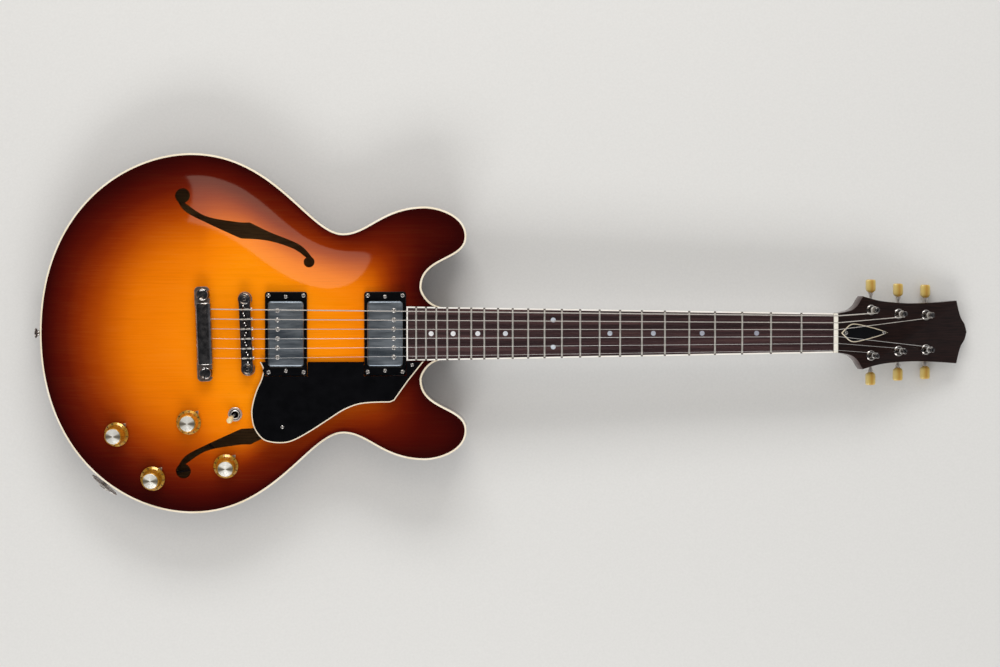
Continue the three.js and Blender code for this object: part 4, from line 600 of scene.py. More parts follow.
# The spray follows the distance from the rim; it fades sooner at the waist, later at horns and lower bout.
places = points_of(top_plate)
along, depth = places[:, 0], edge_distance(places[:, :2])
horns = np.clip((along - 135) / 50, 0, 1) * np.clip((np.abs(places[:, 1]) - 60) / 35, 0, 1)
middle = np.clip((along + 50) / 50, 0, 1) * np.clip(
    (172 - along) / 40, 0, 1
) * np.clip((depth - 30) / 40, 0, 1)
waist = np.exp(-(((along - 84) / 55) ** 2)) * np.clip(depth / 8, 0, 1) * np.clip((70 - depth) / 40, 0, 1)
waist *= 25 - places[:, 1] / 25
lower_bout = 7 * np.clip(depth / 15, 0, 1) + 5 * np.clip((depth - 80) / 12, 0, 1)
lower_bout *= np.exp(-(((along + 115) / 60) ** 4))
spray = depth * (1 - 0.5 * horns) + 35 * middle + waist - lower_bout
marked(top_plate, "spray", np.minimum(spray, 106) / 120)

# Binding: a strip of ivory plastic round the top edge of the body.
# It is glued in a rebate, scraped flush with the top and rounded over.
ivory = Finish("ivory_binding")
age = ivory.noise((30, 30, 30), 3)
scrape = ivory.noise((900, 900, 900), 2)
ivory_plastic = ivory.surface(
    Base_Color=ivory.ramp(age + (scrape - 0.5) * 0.15, (0.3, "efdfc0"), (0.7, "fcf1dc")),
    Roughness=0.3,
    Coat_Weight=0.6,
    Coat_Roughness=0.08,
)


def hoop(profile):
    """A ring round the body from a profile of insets and heights."""
    mesh = lofted(
        bmesh.new(), [[(x, y, z) for x, y in inset(OUTLINE, offset)] for offset, z in profile], closed=True
    )
    return mesh


NECK_GAP = (21.7, 70)
binding = hoop([(0, 47.2), (2, 47.2), (2, 52), (1, 52), (0.45, 51.85), (0.13, 51.5), (0, 51)])
piece(
    "top_binding_strip", carve(binding, tenon_slot(*NECK_GAP)), [ivory_plastic],
    stands_for="top_binding",
)

# Sides: thin maple bent round the mould, stained dark and lacquered outside, bare inside.
# Linings are glued along both edges; there is a hole for the jack and one for the strap button's screw.
LACQUER = {"Roughness": 0.34, "Coat_Weight": 1.0, "Coat_Roughness": 0.06}


def grained(name, depth, stops, fine, broad=None, share=1, **values):
    """Fine noise gives the grain and its relief, and broad noise the rest of the colour."""
    finish = Finish(name)
    grain = finish.noise(*fine)
    shade = grain * share + finish.noise(*broad) * (1 - share) if broad else grain
    return finish.surface(Base_Color=finish.ramp(shade, *stops), Normal=finish.bump(grain, depth), **values)


stain = [(0.3, "2f0705"), (0.52, "46100a"), (0.72, "5b1a0d")]
shell_grain, shell_bands = ((7, 7, 500), 4, 0.6), ((60, 60, 6), 2, 0.5)
shell_lacquer = grained("oxblood_shell", 0.00003, stain, shell_grain, shell_bands, 0.7, **LACQUER)
bare_wood = grained(
    "bare_maple", 0.00015, [(0.3, "8d683f"), (0.6, "b08c5a")], ((12, 500, 500), 4), Roughness=0.75
)
JACK = Matrix(
    ((0.7677, 0, -0.6408, -158.868), (-0.6408, 0, -0.7677, -163.575), (0, 1, 0, 31), (0, 0, 0, 1))
)
STRAP_END = shifted(-225.5, 0, 31) @ turning(-90, "Y")
wall = hoop([(0, 14.8), (0, 47.2), (8.5, 47.2), (2.8, 36), (2.8, 26), (8.5, 14.8)])
sides = carve(wall, tenon_slot(*NECK_GAP))
holes = turned(bmesh.new(), [(0, -12), (5, -12), (5, 9), (0, 9)], 32, JACK)
turned(holes, [(0, -9), (2.1, -9), (2.1, 9), (0, 9)], 20, STRAP_END)
sides = carve(sides, holes)
side_piece = piece(
    "sides_bent", sides, [shell_lacquer, bare_wood], stands_for="sides"
)
skin_depth = edge_distance(points_of(side_piece)[:, :2], OUTLINE)
second_finish(side_piece, lambda face: max(skin_depth[v] for v in face.vertices) > 0.8)

# Back: the same pressed maple as the top, stained and lacquered with the sides, bare on its inner face.
# It is glued to the lower linings and to the centre block.
back = carve(square_sheet(5), prism(bmesh.new(), OUTLINE, -9, 9), "INTERSECT")
flat = np.array([v.co.xy for v in back.verts])
for vert, share in zip(back.verts, arch(flat)):
    vert.co.z += BACK_RISE * (1 - share) + PLATE
stain = [(0.32, "370a06"), (0.52, "50140b"), (0.7, "6a2110")]
back_grain, back_curl = ((10, 700, 200), 4, 0.6), ((70, 8, 8), 2, 0.5, 0.5, (0, 0, 0.3))
back_lacquer = grained("oxblood_back", 0.00003, stain, back_grain, back_curl, 0.6, **LACQUER)
back_piece = piece(
    "back_plate_arched", back, [back_lacquer, bare_wood], stands_for="back_plate"
)
second_finish(back_piece, lambda face: face.normal.z > 0.5)


# Centre block: solid maple under the strings from the neck to the butt, routed for the pickups.
# It is glued to top and back, and is shown by the CAD's own piece in bare wood.
def dressed(node, finish):
    """A CAD node that shows itself gets a better material."""
    cad_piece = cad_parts[node]
    cad_piece.data.materials.clear()
    cad_piece.data.materials.append(finish)


dressed("center_block", bare_wood)

# Neck: one piece of mahogany with its heel and head, glued by its tenon in the centre block.
# It rises from the nut towards the body, and the face of its head is stained nearly black.
NUT_X, NUT_HALF, NECK_ANGLE = 630.3, 21.4, 4
NECK_SLOPE = tan(radians(NECK_ANGLE))
BOARD, BOARD_END, BOARD_AT_NUT, BOARD_WIDTHS, CAMBER_RADIUS = 6, 168.8, 29.5, (42.8, 58.2), 305
TENON_START, OVERHANG_START, JOINT_END = 171, 169.1, 213.6
HEAD_X, HEAD_Z, HEAD_TILT = 635.4, 26.3, 19
HEAD_LENGTH, HEAD_HALF, HEAD_DEPTH = 158.2, 39.8, 14
HEAD = shifted(HEAD_X, 0, HEAD_Z) @ turning(HEAD_TILT, "Y")
HEAD_EDGE = [
    (0, 0.538), (0.063, 0.578), (0.114, 0.638), (0.152, 0.764), (0.174, 0.899), (0.193, 1),
    (0.299, 0.892), (0.41, 0.834), (0.568, 0.802), (0.727, 0.819), (0.863, 0.854), (0.92, 0.872),
    (0.936, 0.611), (0.956, 0.384), (0.984, 0.214), (1, 0),
]


def board_height(x):
    return BOARD_AT_NUT + (NUT_X - x) * NECK_SLOPE


def board_half(x):
    narrow, wide = BOARD_WIDTHS
    return (narrow + (wide - narrow) * (NUT_X - x) / (NUT_X - BOARD_END)) / 2


def camber(y):
    return CAMBER_RADIUS - sqrt(CAMBER_RADIUS * CAMBER_RADIUS - y * y)


def under_board(x):
    return board_height(x) - BOARD - SEAT


def neck_section(x, height, half, depth, fullness, steps=28):
    points = []
    for i in range(steps + 1):
        side, drop = cos(i / steps * pi), sin(i / steps * pi)
        y = half * copysign(abs(side) ** (2 / fullness), side)
        points.append((x, y, height - depth * abs(drop) ** (2 / fullness)))
    return points


def neck_shaft():
    start, heel_front, heel_end = NECK_JOINT + SEAT, 221, 245
    near = [heel_front + (heel_end - heel_front) * (i / 14) ** 1.6 for i in range(15)]
    far = [heel_end + (NUT_X - heel_end) * i / 12 for i in range(1, 13)]
    loops = []
    for x in [start, (start + heel_front) / 2, *near, *far]:
        way = (NUT_X - x) / (NUT_X - NECK_JOINT)
        depth = 15 + 2.5 * way
        part = min(max((x - heel_front) / (heel_end - heel_front), 0), 1)
        heel = 1 - sqrt(1 - (1 - part) ** 2)
        heel_depth = under_board(x) - 12
        loops.append(
            neck_section(x, under_board(x), board_half(x), depth + (heel_depth - depth) * heel, 2 + heel)
        )
    slope = tan(radians(HEAD_TILT))
    for share in (0, 0.25, 0.5, 0.75, 1):
        x = HEAD_X + share * 11
        height = min(HEAD_Z - SEAT - (x - HEAD_X) * slope, under_board(NUT_X))
        loops.append(neck_section(x, height, NUT_HALF, 15 - share, 2 + share))
    return lofted(bmesh.new(), loops)


def head_outline():
    half = [(x * HEAD_LENGTH, y * HEAD_HALF) for x, y in HEAD_EDGE]
    throat, flank, crown = spline(half[:6], 20), spline(half[5:12], 24), spline(half[11:], 16)
    half = throat + flank + crown + [half[-1]]
    return half[::-1] + [(x, -y) for x, y in half[:-1]]


head = prism(bmesh.new(), head_outline()[::-1], -HEAD_DEPTH, 0)
rims = [
    e for e in head.edges if all(abs(v.co.z) < 0.01 or abs(v.co.z + HEAD_DEPTH) < 0.01 for v in e.verts)
]
rims = [
    e for e in rims if abs(e.verts[0].co.z - e.verts[1].co.z) < 0.01 and max(v.co.x for v in e.verts) > 3
]
bmesh.ops.bevel(head, geom=rims, offset=0.7, segments=2, profile=0.5, affect="EDGES", material=-1)
rod_pocket = box(bmesh.new(), 9, 43, -4.5, 4.5, -8, 5)
head = carve(head, rod_pocket)
head.transform(HEAD)
under_neck, under_overhang = [], []
for x in np.linspace(TENON_START, JOINT_END, 12):
    ys = np.linspace(-19, 19, 9)
    tops = [(x, y, min(top_height(x, y), under_board(x))) for y in ys]
    under_neck.append([(x, 19, 22), (x, -19, 22), *tops])
for x in np.linspace(OVERHANG_START, JOINT_END, 12):
    ys = np.linspace(-board_half(x), board_half(x), 15)
    upper = under_board(x)
    seat_line = [(x, y, min(top_height(x, y) + SEAT, upper - 0.05)) for y in ys]
    under_overhang.append([(x, board_half(x), upper), (x, -board_half(x), upper), *seat_line])
nut_bed = box(bmesh.new(), NUT_X - SEAT, NUT_X + 5.1, -43, 43, 22.86, BOARD_AT_NUT)
neck = carve(neck_shaft(), head, "UNION")
for loops in (under_neck, under_overhang):
    neck = carve(neck, lofted(bmesh.new(), loops), "UNION")
neck = carve(neck, nut_bed)
stain = [(0.3, "240a07"), (0.5, "361310"), (0.7, "4a1c14")]
pores, streaks = ((30, 1300, 1300), 3, 0.6), ((4, 160, 160), 3)
varnish = {"Roughness": 0.36, "Coat_Weight": 0.9, "Coat_Roughness": 0.07}
neck_wood = grained("stained_mahogany", 0.00004, stain, pores, streaks, 0.4, **varnish)
stain = [(0.35, "120a08"), (0.62, "281713")]
varnish = {"Roughness": 0.5, "Specular_IOR_Level": 0.1, "Coat_Weight": 0.6, "Coat_Roughness": 0.06}
head_face = grained("head_face_stain", 0.00004, stain, ((40, 1500, 60), 3, 0.6), **varnish)
neck_piece = piece("neck_shaft_and_head", neck, [neck_wood, head_face], stands_for="neck")
face_way = HEAD.to_3x3() @ Vector((0, 0, 1))
second_finish(neck_piece, lambda face: face.normal.dot(face_way) > 0.88 and face.center.x > 0.6355)

# Fingerboard: rosewood, cambered across and tapering to the nut, glued on the neck.
# White plastic strips are glued along its edges and its body end.
FRETS, EDGE_STRIP, SCALE = 22, 1.5, 628.65


def fret_place(number):
    return NUT_X - SCALE * (1 - 2 ** (-number / 12)) * cos(radians(NECK_ANGLE))


def board_loop(x, drop=0.0, steps=14):
    """One cross-section of the board between its edge strips."""
    half = board_half(x) - EDGE_STRIP
    ys = [half + (-half - half) * i / steps for i in range(steps + 1)]
    crown = [(x, y, board_height(x) - camber(y) - drop) for y in ys]
    base = board_height(x) - BOARD
    return crown + [(x, -half, base), (x, half, base)]


board = lofted(bmesh.new(), [board_loop(x) for x in (BOARD_END + EDGE_STRIP, NUT_X - SEAT)])
rosewood = Finish("rosewood")
pores = rosewood.noise((45, 2600, 900), 4, 0.62)
streaks = rosewood.noise((3.5, 210, 60), 4, 0.6, 0.4)
board_wood = rosewood.surface(
    Base_Color=rosewood.mix(
        rosewood.between(pores, 0.56, 0.68) * 0.75,
        rosewood.ramp(streaks, (0.3, "291e1f"), (0.5, "3d2b2c"), (0.68, "543c3b")),
        "1d1012",
    ),
    Roughness=rosewood.ramp(pores, (0.45, "808080"), (0.65, "b0b0b0")),
    Specular_IOR_Level=0.35,
    Normal=rosewood.bump(1 - pores, 0.0001),
)
piece("fingerboard_rosewood", board, [board_wood], stands_for="fingerboard")
strips = bmesh.new()
for side in (1, -1):
    loops = []
    for x in (BOARD_END, NUT_X - SEAT):
        outer, inner = side * board_half(x), side * (board_half(x) - EDGE_STRIP)
        crest = board_height(x) - camber(inner)
        base = board_height(x) - BOARD
        rounding = [(x, outer - side * 0.35, crest - 0.06), (x, outer, crest - 0.4)]
        loops.append([(x, inner, base), (x, inner, crest), *rounding, (x, outer, base)])
    lofted(strips, loops)
end_strip = ((BOARD_END, 0.45), (OVERHANG_START, 0.06), (BOARD_END + EDGE_STRIP, 0))
lofted(strips, [board_loop(x, drop) for x, drop in end_strip])
edge_strip = mottled("white_edge_strip", (40, 40, 40), "f5eee2", "fffbf4", Roughness=0.3, Coat_Weight=0.6)
piece("fingerboard_binding", strips, [edge_strip])

# Frets: drawn nickel wire with a round crown, pressed in sawn slots across the board.
# Their ends are dressed down over the white strips.
metal = Finish("fret_wire")
scuff = metal.noise((2500, 160, 900), 3)
fret_metal = metal.surface(
    Base_Color=metal.ramp(scuff, (0.3, "c4beb5"), (0.7, "e6e1d8")),
    Metallic=0.45,
    Roughness=metal.ramp(scuff, (0.3, "808080"), (0.7, "a0a0a0")),
)
# A darker grey for the flanks of each wire near the board and for its ends over the white strips: painted
# shade.
fret_shade = mottled("fret_flank_painted_shade", (900, 900, 900), "4f4741", "756c64", Metallic=0.4, Roughness=0.5)


# Picks the faces that get the painted shade: the wire's flanks away from its crown, and its ends over the
# strips.
def off_the_crown(face):
    x, y, z = face.center / MM
    from_crown = min(abs(x - fret_place(number)) for number in range(1, FRETS + 1))
    return abs(y) > board_half(x) - EDGE_STRIP or from_crown > 0.85


FRET_RADIUS = 1.15
wires = bmesh.new()
for number in range(1, FRETS + 1):
    x = fret_place(number)
    half = board_half(x)
    inner = half - EDGE_STRIP
    loops = []
    for y in [half] + [inner - 2 * inner * i / 12 for i in range(13)] + [-half]:
        sink = 0.75 if abs(y) == half else 0.0
        base = board_height(x) - camber(y) - 0.05
        bow = [(cos(a / 8 * pi), sin(a / 8 * pi)) for a in range(9)]
        slant = 0.25 if sink else 0.0
        rise = FRET_RADIUS - sink
        loops.append([(x + FRET_RADIUS * c, y - copysign(slant * s, y), base + rise * s) for c, s in bow])
    lofted(wires, loops)
frets = piece("frets", wires, [fret_metal, fret_shade], crease=50)
second_finish(frets, off_the_crown)

# Position dots: discs of pearl glued flush in the board, one at each place and two at the octave.
# They shine white by the body and bluish towards the nut.
pearl = Finish("pearl_dots")
wave = pearl.noise((260, 260, 260), 3, 0.5, 1.2)
here = pearl.node("TexCoord", {}, {}, "Object")
outward = pearl.node("SeparateXYZ", {}, {"Vector": here}, "X")
bluish = pearl.mix(pearl.between(outward, 0.3, 0.55), "ccd2da", "a2a3b0")
shade = pearl.mix(pearl.between(outward, 0.23, 0.3), "f6f4f4", bluish)
pearl_shell = pearl.surface(
    Base_Color=pearl.mix(
        0.8, shade, pearl.ramp(wave, (0.3, "d5dade"), (0.5, "ffffff"), (0.7, "e0e4ec")), "MULTIPLY"
    ),
    Roughness=0.16,
    Coat_Weight=0.5,
)
dots = bmesh.new()
for number in (3, 5, 7, 9, 12, 15, 17, 19, 21):
    x = (fret_place(number) + fret_place(number - 1)) / 2
    for y in (14.5, -14.5) if number == 12 else (0,):
        place = shifted(x, y, board_height(x) - camber(y)) @ turning(NECK_ANGLE, "Y")
        turned(dots, [(0, -1), (2.65, -1), (2.65, 0.06), (2.45, 0.1), (0, 0.12)], 28, place)
piece("position_dots", dots, [pearl_shell])

# Nut: a bone blank glued in its bed at the end of the board.
# A slot is filed in it for each string, and its outer corners are rounded.
GAUGES = [0.58, 0.46, 0.33, 0.215, 0.165, 0.13]
NUT_THICK, NUT_HEIGHT, NUT_SPREAD = 4.8, 31.5, 37.4


def string_spread(i, spread):
    return spread / 2 - spread * i / 5


def nut_string_height(i):
    return NUT_HEIGHT - camber(string_spread(i, NUT_SPREAD))


nut = bmesh.new()
nut_base = board_height(NUT_X + NUT_THICK) - BOARD
ys = [NUT_HALF - 2 * NUT_HALF * i / 24 for i in range(25)]
loops = []
for x, drop in ((NUT_X, 0.5), (NUT_X + 0.5, 0), (NUT_X + 3.6, 0.1), (NUT_X + NUT_THICK, 0.9)):
    crest = [(x, y, 31.6 - camber(y) - drop - (0.5 if abs(y) > 21 else 0)) for y in ys]
    loops.append(crest + [(x, -NUT_HALF, nut_base), (x, NUT_HALF, nut_base)])
lofted(nut, loops)
slots = bmesh.new()
for i, radius in enumerate(GAUGES):
    y = string_spread(i, NUT_SPREAD)
    floor_z = nut_string_height(i) - radius - 0.05
    box(slots, NUT_X - 2, NUT_X + 7, y - radius - 0.06, y + radius + 0.06, floor_z, 40)
nut = carve(nut, slots)
pale = [(0.35, "e6dfcf"), (0.65, "f7f3e8")]
bone_nut = grained("bone", 0.00004, pale, ((180, 900, 900), 3), Roughness=0.35)
piece("nut_blank", nut, [bone_nut], stands_for="nut")

# Truss rod cover: two-ply plastic, black over ivory, with its edge cut back to show the ivory line.
# It lies on the head over the rod's pocket, held by two small screws.
black = Finish("black_plastic")
haze = black.noise((90, 90, 90), 3)
hairline = black.noise((60, 2600, 400), 3, 0.7, turn=(0, 0, 0.5))
black_plastic = black.surface(
    Base_Color=black.ramp(haze, (0.3, "060607"), (0.7, "0b0b0d")),
    Roughness=black.between(haze + hairline * 0.4, 0.2, 7) + 0.05,
    Specular_IOR_Level=0.45,
    Normal=black.bump(hairline, 0.000006),
)
plated = Finish("nickel_screws")
dull = plated.noise((700, 700, 700), 3)
screw_nickel = plated.surface(
    Base_Color=plated.ramp(dull, (0.3, "d2ccc6"), (0.7, "f2ede6")),
    Metallic=0.7,
    Roughness=plated.ramp(dull, (0.3, "8a8a8a"), (0.7, "a4a4a4")),
)
COVER_EDGE = [(0, 0), (0.06, 0.34), (0.16, 0.82), (0.26, 1), (0.46, 0.84), (0.8, 0.38), (1, 0)]


def cover_outline(shrink):
    points = [(3.6 + x * 56.4, y * 10.1) for x, y in COVER_EDGE]
    half = [points[0], points[1], points[2]] + spline(points[2:], 24)[1:] + [points[-1]]
    whole = np.array(half + [(x, -y) for x, y in half[-2:0:-1]])[::-1]
    return inset(whole, shrink)


cover = lofted(bmesh.new(), [at_height(cover_outline(d), z) for d, z in ((0, 0.3), (0, 1.4), (0.15, 1.5))])
piece(
    "truss_rod_cover_edge", cover, [ivory_plastic], place=HEAD,
    stands_for="truss_rod_cover",
)
cover = lofted(
    bmesh.new(), [at_height(cover_outline(d), z) for d, z in ((0.95, 1.45), (1.05, 2.3), (1.3, 2.5))]
)
piece("truss_rod_cover_face", cover, [black_plastic], place=HEAD)


def slotted_head(radius, height, dome, slot, cross=False):
    """A screw head with its underside at height 0, filed with one slot or two; the inside of each slot takes
    the piece's second material, black, as painted shade.
    """
    mesh = bmesh.new()
    rise = [(radius * cos(a), height - dome + dome * sin(a)) for a in (0, 0.35, 0.7, 1.05, 1.35)]
    turned(mesh, [(0, 0), (radius, 0), *rise, (0, height)], 24)
    tool = bmesh.new()
    reach = radius * (0.62 if cross else 1.2)
    deep = min(height * 0.6, slot * 1.5)
    box(tool, -reach, reach, -slot / 2, slot / 2, height - deep, height + 1)
    mesh = carve(mesh, tool)
    if cross:
        tool = box(bmesh.new(), -slot / 2, slot / 2, -reach, reach, height - deep, height + 1)
        mesh = carve(mesh, tool)
    # The slot's floor and walls get the second material, black plastic, as painted shade.
    for face in mesh.faces:
        spot = face.calc_center_median()
        if spot.z < height - 0.12 and min(abs(spot.x), abs(spot.y)) < slot / 2 + 0.01 and spot.z > 0.1:
            face.material_index = 1
    return mesh


round_head = slotted_head(1.9, 1.1, 0.9, 0.55, cross=True)
screws = bmesh.new()
for x in (8.8, 54.4):
    stamped(screws, round_head, HEAD @ shifted(x, 0, 2.45) @ turning(20, "Z"))
piece("truss_rod_cover_screws", screws, [screw_nickel, black_plastic])

# Tuners: nickel posts in press-in bushings, turned by worm shafts with buttons of aged cream plastic.
# The stamped housings are screwed under the head.
chrome = Finish("aged_nickel")
blot = chrome.noise((160, 160, 160), 4, 0.6)
fine = chrome.noise((2200, 2200, 2200), 2)
nickel = chrome.surface(
    Base_Color=chrome.ramp(blot, (0.32, "8f8a86"), (0.6, "bdb7b2")),
    Metallic=1.0,
    Roughness=chrome.ramp(blot * 0.7 + fine * 0.3, (0.35, "6c6c6c"), (0.65, "8c8c8c")),
    Normal=chrome.bump(fine, 0.000004),
)
amber = Finish("aged_cream_buttons")
depth = amber.noise((160, 160, 160), 3)
core = amber.attribute("core")
cream_button = amber.surface(
    Base_Color=amber.ramp(core + (depth - 0.5) * 0.35, (0.1, "dfc57a"), (0.5, "d2b25c"), (0.95, "c2923a")),
    Roughness=0.3,
    Coat_Weight=0.6,
    Coat_Roughness=0.1,
)
POSTS = [(40, 24.8), (73.6, 20.3), (107.3, 19)]
WORM_OFFSET, WORM_Z, BUTTON_HALF = 9, -18.3, 5.6


def post_place(i):
    x, y = POSTS[i if i < 3 else 5 - i]
    side = 1 if i < 3 else -1
    return x, side * y, side


def squarish(count, power_u, power_v):
    """A round drawn out towards its corners, as shares of its half sizes."""
    return [
        (copysign(abs(u) ** power_u, u), copysign(abs(v) ** power_v, v)) for u, v in circle(0, 0, 1, count)
    ]


def rounded_box(mesh, x0, x1, y0, y1, z0, z1, radius, segments=3):
    corners = [mesh.verts.new((x, y, z)) for x in (x0, x1) for y in (y0, y1) for z in (z0, z1)]
    sides_of = [(0, 1, 3, 2), (4, 6, 7, 5), (0, 4, 5, 1), (2, 3, 7, 6), (0, 2, 6, 4), (1, 5, 7, 3)]
    faces = [mesh.faces.new([corners[i] for i in side]) for side in sides_of]
    edges = list(dict.fromkeys(e for f in faces for e in f.edges))
    bmesh.ops.bevel(
        mesh, geom=edges, offset=radius, segments=segments, profile=0.5, affect="EDGES", material=-1
    )
    return mesh


for i in range(6):
    x, y, side = post_place(i)
    seat = HEAD @ shifted(x, y, 0)
    number = i + 1
    housing = rounded_box(bmesh.new(), -8, 13.5, -7.5, 7.5, -23.7, -14.3, 1.6, 4)
    piece(
        f"tuner_housing_shell_{number}", housing, [nickel], place=seat,
        stands_for=f"tuner_housing_{number}",
    )
    stem = [
        (0, -19), (3, -19), (3, 3.4), (2.85, 4.2), (2.6, 5.3), (2.6, 12), (2.85, 13.2), (3, 13.9), (3, 15)
    ]
    post = turned(bmesh.new(), [*stem, (2.6, 15.5), (0, 15.5)], 28)
    tool = box(bmesh.new(), -0.6, 0.6, -4, 4, 12.9, 16)
    tool.transform(turning(-40 + 67 * i, "Z"))
    post = carve(post, tool)
    post = carve(post, turned(bmesh.new(), [(0, 9), (1, 9), (1, 17), (0, 17)], 12))
    piece(
        f"tuner_post_stem_{number}", post, [nickel], body=f"tuner_post_{number}",
        place=seat, stands_for=f"tuner_post_{number}",
    )
    worm_place = shifted(WORM_OFFSET, 0, WORM_Z) @ turning(-90 * side, "X")
    rod = [
        (0, 0), (1.8, 0), (1.8, 15.4), (3, 15.6), (3, 16.4), (2.5, 16.8), (3, 17.2), (3, 18.4), (2.2, 18.8)
    ]
    shaft = turned(bmesh.new(), [*rod, (0, 18.8)], 24, worm_place)
    piece(
        f"tuner_shaft_{number}", shaft, [screw_nickel], body=f"tuner_button_{number}",
        place=seat,
    )
    loops = []
    for share, wide, deep in (
        (0, 0.3, 0.36), (0.03, 0.48, 0.5), (0.08, 0.7, 0.7), (0.15, 0.9, 0.88), (0.23, 0.97, 0.96),
        (0.4, 1, 1), (0.82, 1, 0.97), (0.92, 0.97, 0.88), (0.97, 0.88, 0.72), (1, 0.72, 0.52),
    ):
        y_here, wide, deep = side * (18.6 + 14.6 * share), wide * BUTTON_HALF, deep * 3.7
        loops.append(
            [(WORM_OFFSET + wide * u, y_here, WORM_Z + deep * v) for u, v in squarish(32, 0.6, 0.75)]
        )
    button = lofted(bmesh.new(), loops)
    grip = piece(
        f"tuner_grip_{number}", button, [cream_button], body=f"tuner_button_{number}",
        place=seat, stands_for=f"tuner_button_{number}",
    )
    local = [HEAD.inverted() @ Vector(p) for p in points_of(grip)]
    marked(grip, "core", [max(0, 1 - abs(p.x - x - WORM_OFFSET) / BUTTON_HALF) for p in local])

bushings = bmesh.new()
bushing = [(3.3, -2), (3.3, 1.7), (3.6, 2), (4.3, 2), (4.6, 1.5), (5.4, 1.1), (5.8, 0.5), (5.8, 0), (5, -2)]
for i in range(6):
    x, y, side = post_place(i)
    turned(bushings, bushing, 32, shifted(x, y, 0))
piece("tuner_bushings", bushings, [nickel], place=HEAD)

# Pickups: brushed nickel covers with six pole screws each, hung from two height screws.
# Each sits in a moulded black ring, cut to the arch underneath and held by four small screws.
SADDLE_HEIGHT, POLE_SPREAD, HEIGHT_SCREW_Y = 78, 49.7, 39.6
RING_HALF, RING_HOLE_HALF, COVER_HALF, RING_SCREW = (22.4, 45), (19.4, 35.4), (19, 35), (18.6, 40.9)
STRING_SLOPE = (SADDLE_HEIGHT - NUT_HEIGHT) / NUT_X


def rounded_rectangle(half, shrink, corner, steps=8):
    points = []
    for quarter in range(4):
        middle_x = (half[0] - shrink - corner) * (1 if quarter in (0, 3) else -1)
        middle_y = (half[1] - shrink - corner) * (1 if quarter < 2 else -1)
        for i in range(steps + 1):
            angle = (quarter + i / steps) * pi / 2
            points.append((middle_x + corner * cos(angle), middle_y + corner * sin(angle)))
    return points


def string_tilt(x, below):
    """A place under the strings that leans with them."""
    z = SADDLE_HEIGHT - STRING_SLOPE * x - below
    return shifted(x, 0, z) @ turning(degrees(atan(STRING_SLOPE)), "Y")


small_head = slotted_head(2.15, 0.9, 0.5, 0.5, cross=True)
height_head = slotted_head(2.0, 1.2, 0.5, 0.6)
pole_head = slotted_head(2.5, 1.1, 0.5, 0.6)
covered = Finish("brushed_nickel_cover")
stroke = covered.noise((3000, 45, 500), 4, 0.65)
tarnish = covered.noise((22, 130, 60), 4, 0.6)
cover_metal = covered.surface(
    Base_Color=covered.mix(covered.between(tarnish, 0.35, 0.65), "75808a", "a9b2ba"),
    Metallic=0.9,
    Roughness=covered.between(stroke * 0.5 + tarnish * 0.5, 0.1, 1.3) + 0.06,
    Normal=covered.bump(stroke, 0.000012),
)
for which, x, pole_side, pole_x in (("bridge", BRIDGE_PICKUP_X, -1, -8.8), ("neck", NECK_PICKUP_X, 1, 9.4)):
    ring_place, cover_place = string_tilt(x, 6.4), string_tilt(x, 3.2)
    outer_edge, inner_edge = (
        (0, -0.9), (0.1, -0.35), (0.35, -0.1), (0.9, 0)
    ), ((0.6, 0), (0.15, -0.15), (0, -0.6))
    outer = [(rounded_rectangle(RING_HALF, d, 3), z) for d, z in outer_edge]
    inner = [(rounded_rectangle(RING_HOLE_HALF, -d, 3.5), z) for d, z in inner_edge]
    loops = [[ring_place @ Vector(p) for p in at_height(edge, z)] for edge, z in outer + inner]
    feet = [np.array([[p.x, p.y] for p in loops[k]]) for k in (-1, 0)]
    for foot in feet:
        loops.append(
            [(a, b, EDGE_TOP + ARCH_RISE * share + SEAT) for (a, b), share in zip(foot, arch(foot))]
        )
    ring = lofted(bmesh.new(), loops, closed=True)
    piece(
        f"{which}_pickup_frame", ring, [black_plastic], stands_for=f"{which}_pickup_ring"
    )
    screws = bmesh.new()
    for k, (side_x, side_y) in enumerate(((1, 1), (-1, 1), (1, -1), (-1, -1))):
        spot = shifted(side_x * RING_SCREW[0], side_y * RING_SCREW[1], 0.02)
        stamped(screws, small_head, ring_place @ spot @ turning(31 * k + 12, "Z"))
    piece(f"{which}_pickup_frame_screws", screws, [screw_nickel, black_plastic])
    layers = [(0, -17), (0, -2.2), (0.12, -1.5), (0.45, -0.8), (0.95, -0.3), (1.6, -0.05), (2.4, 0)]
    cover_loops = [
        at_height(rounded_rectangle(COVER_HALF, d, max(3.5 - d * 0.6, 1.6)), z) for d, z in layers
    ]
    can = lofted(bmesh.new(), cover_loops)
    box(can, -6, 6, -42, -34, -17, -15)
    box(can, -6, 6, 34, 42, -17, -15)
    piece(
        f"{which}_pickup_cover", can, [cover_metal], place=cover_place,
        stands_for=f"{which}_pickup",
    )
    poles = bmesh.new()
    for k in range(6):
        spot = cover_place @ shifted(pole_x, string_spread(k, POLE_SPREAD), -0.15)
        stamped(poles, pole_head, spot @ turning(25 + 53 * k + 20 * pole_side, "Z"))
    for side in (1, -1):
        spot = cover_place @ shifted(0, side * HEIGHT_SCREW_Y, 0)
        stamped(poles, height_head, spot @ shifted(0, 0, -2.9) @ turning(80 + 12 * side, "Z"))
        turned(poles, [(0, -20), (1.3, -20), (1.3, -2.8), (0, -2.8)], 12, spot)
    piece(f"{which}_pickup_screws", poles, [screw_nickel, black_plastic])

# Bridge: a cast nickel bar that rests on two posts, with a collar round each.
# A trough holds the six saddles, and each saddle's long screw lies along the strings.
BRIDGE_SPREAD = 52.2
BRIDGE_BASE, BRIDGE_TOP, BRIDGE_FLOOR = 68.2, 74.5, 70.4
SADDLE_FOOT, SADDLE_AXIS = 70.75, 72.8
SADDLE_SETTINGS = [-1.5, -0.6, 0.6, -0.8, 0.1, 1.2]


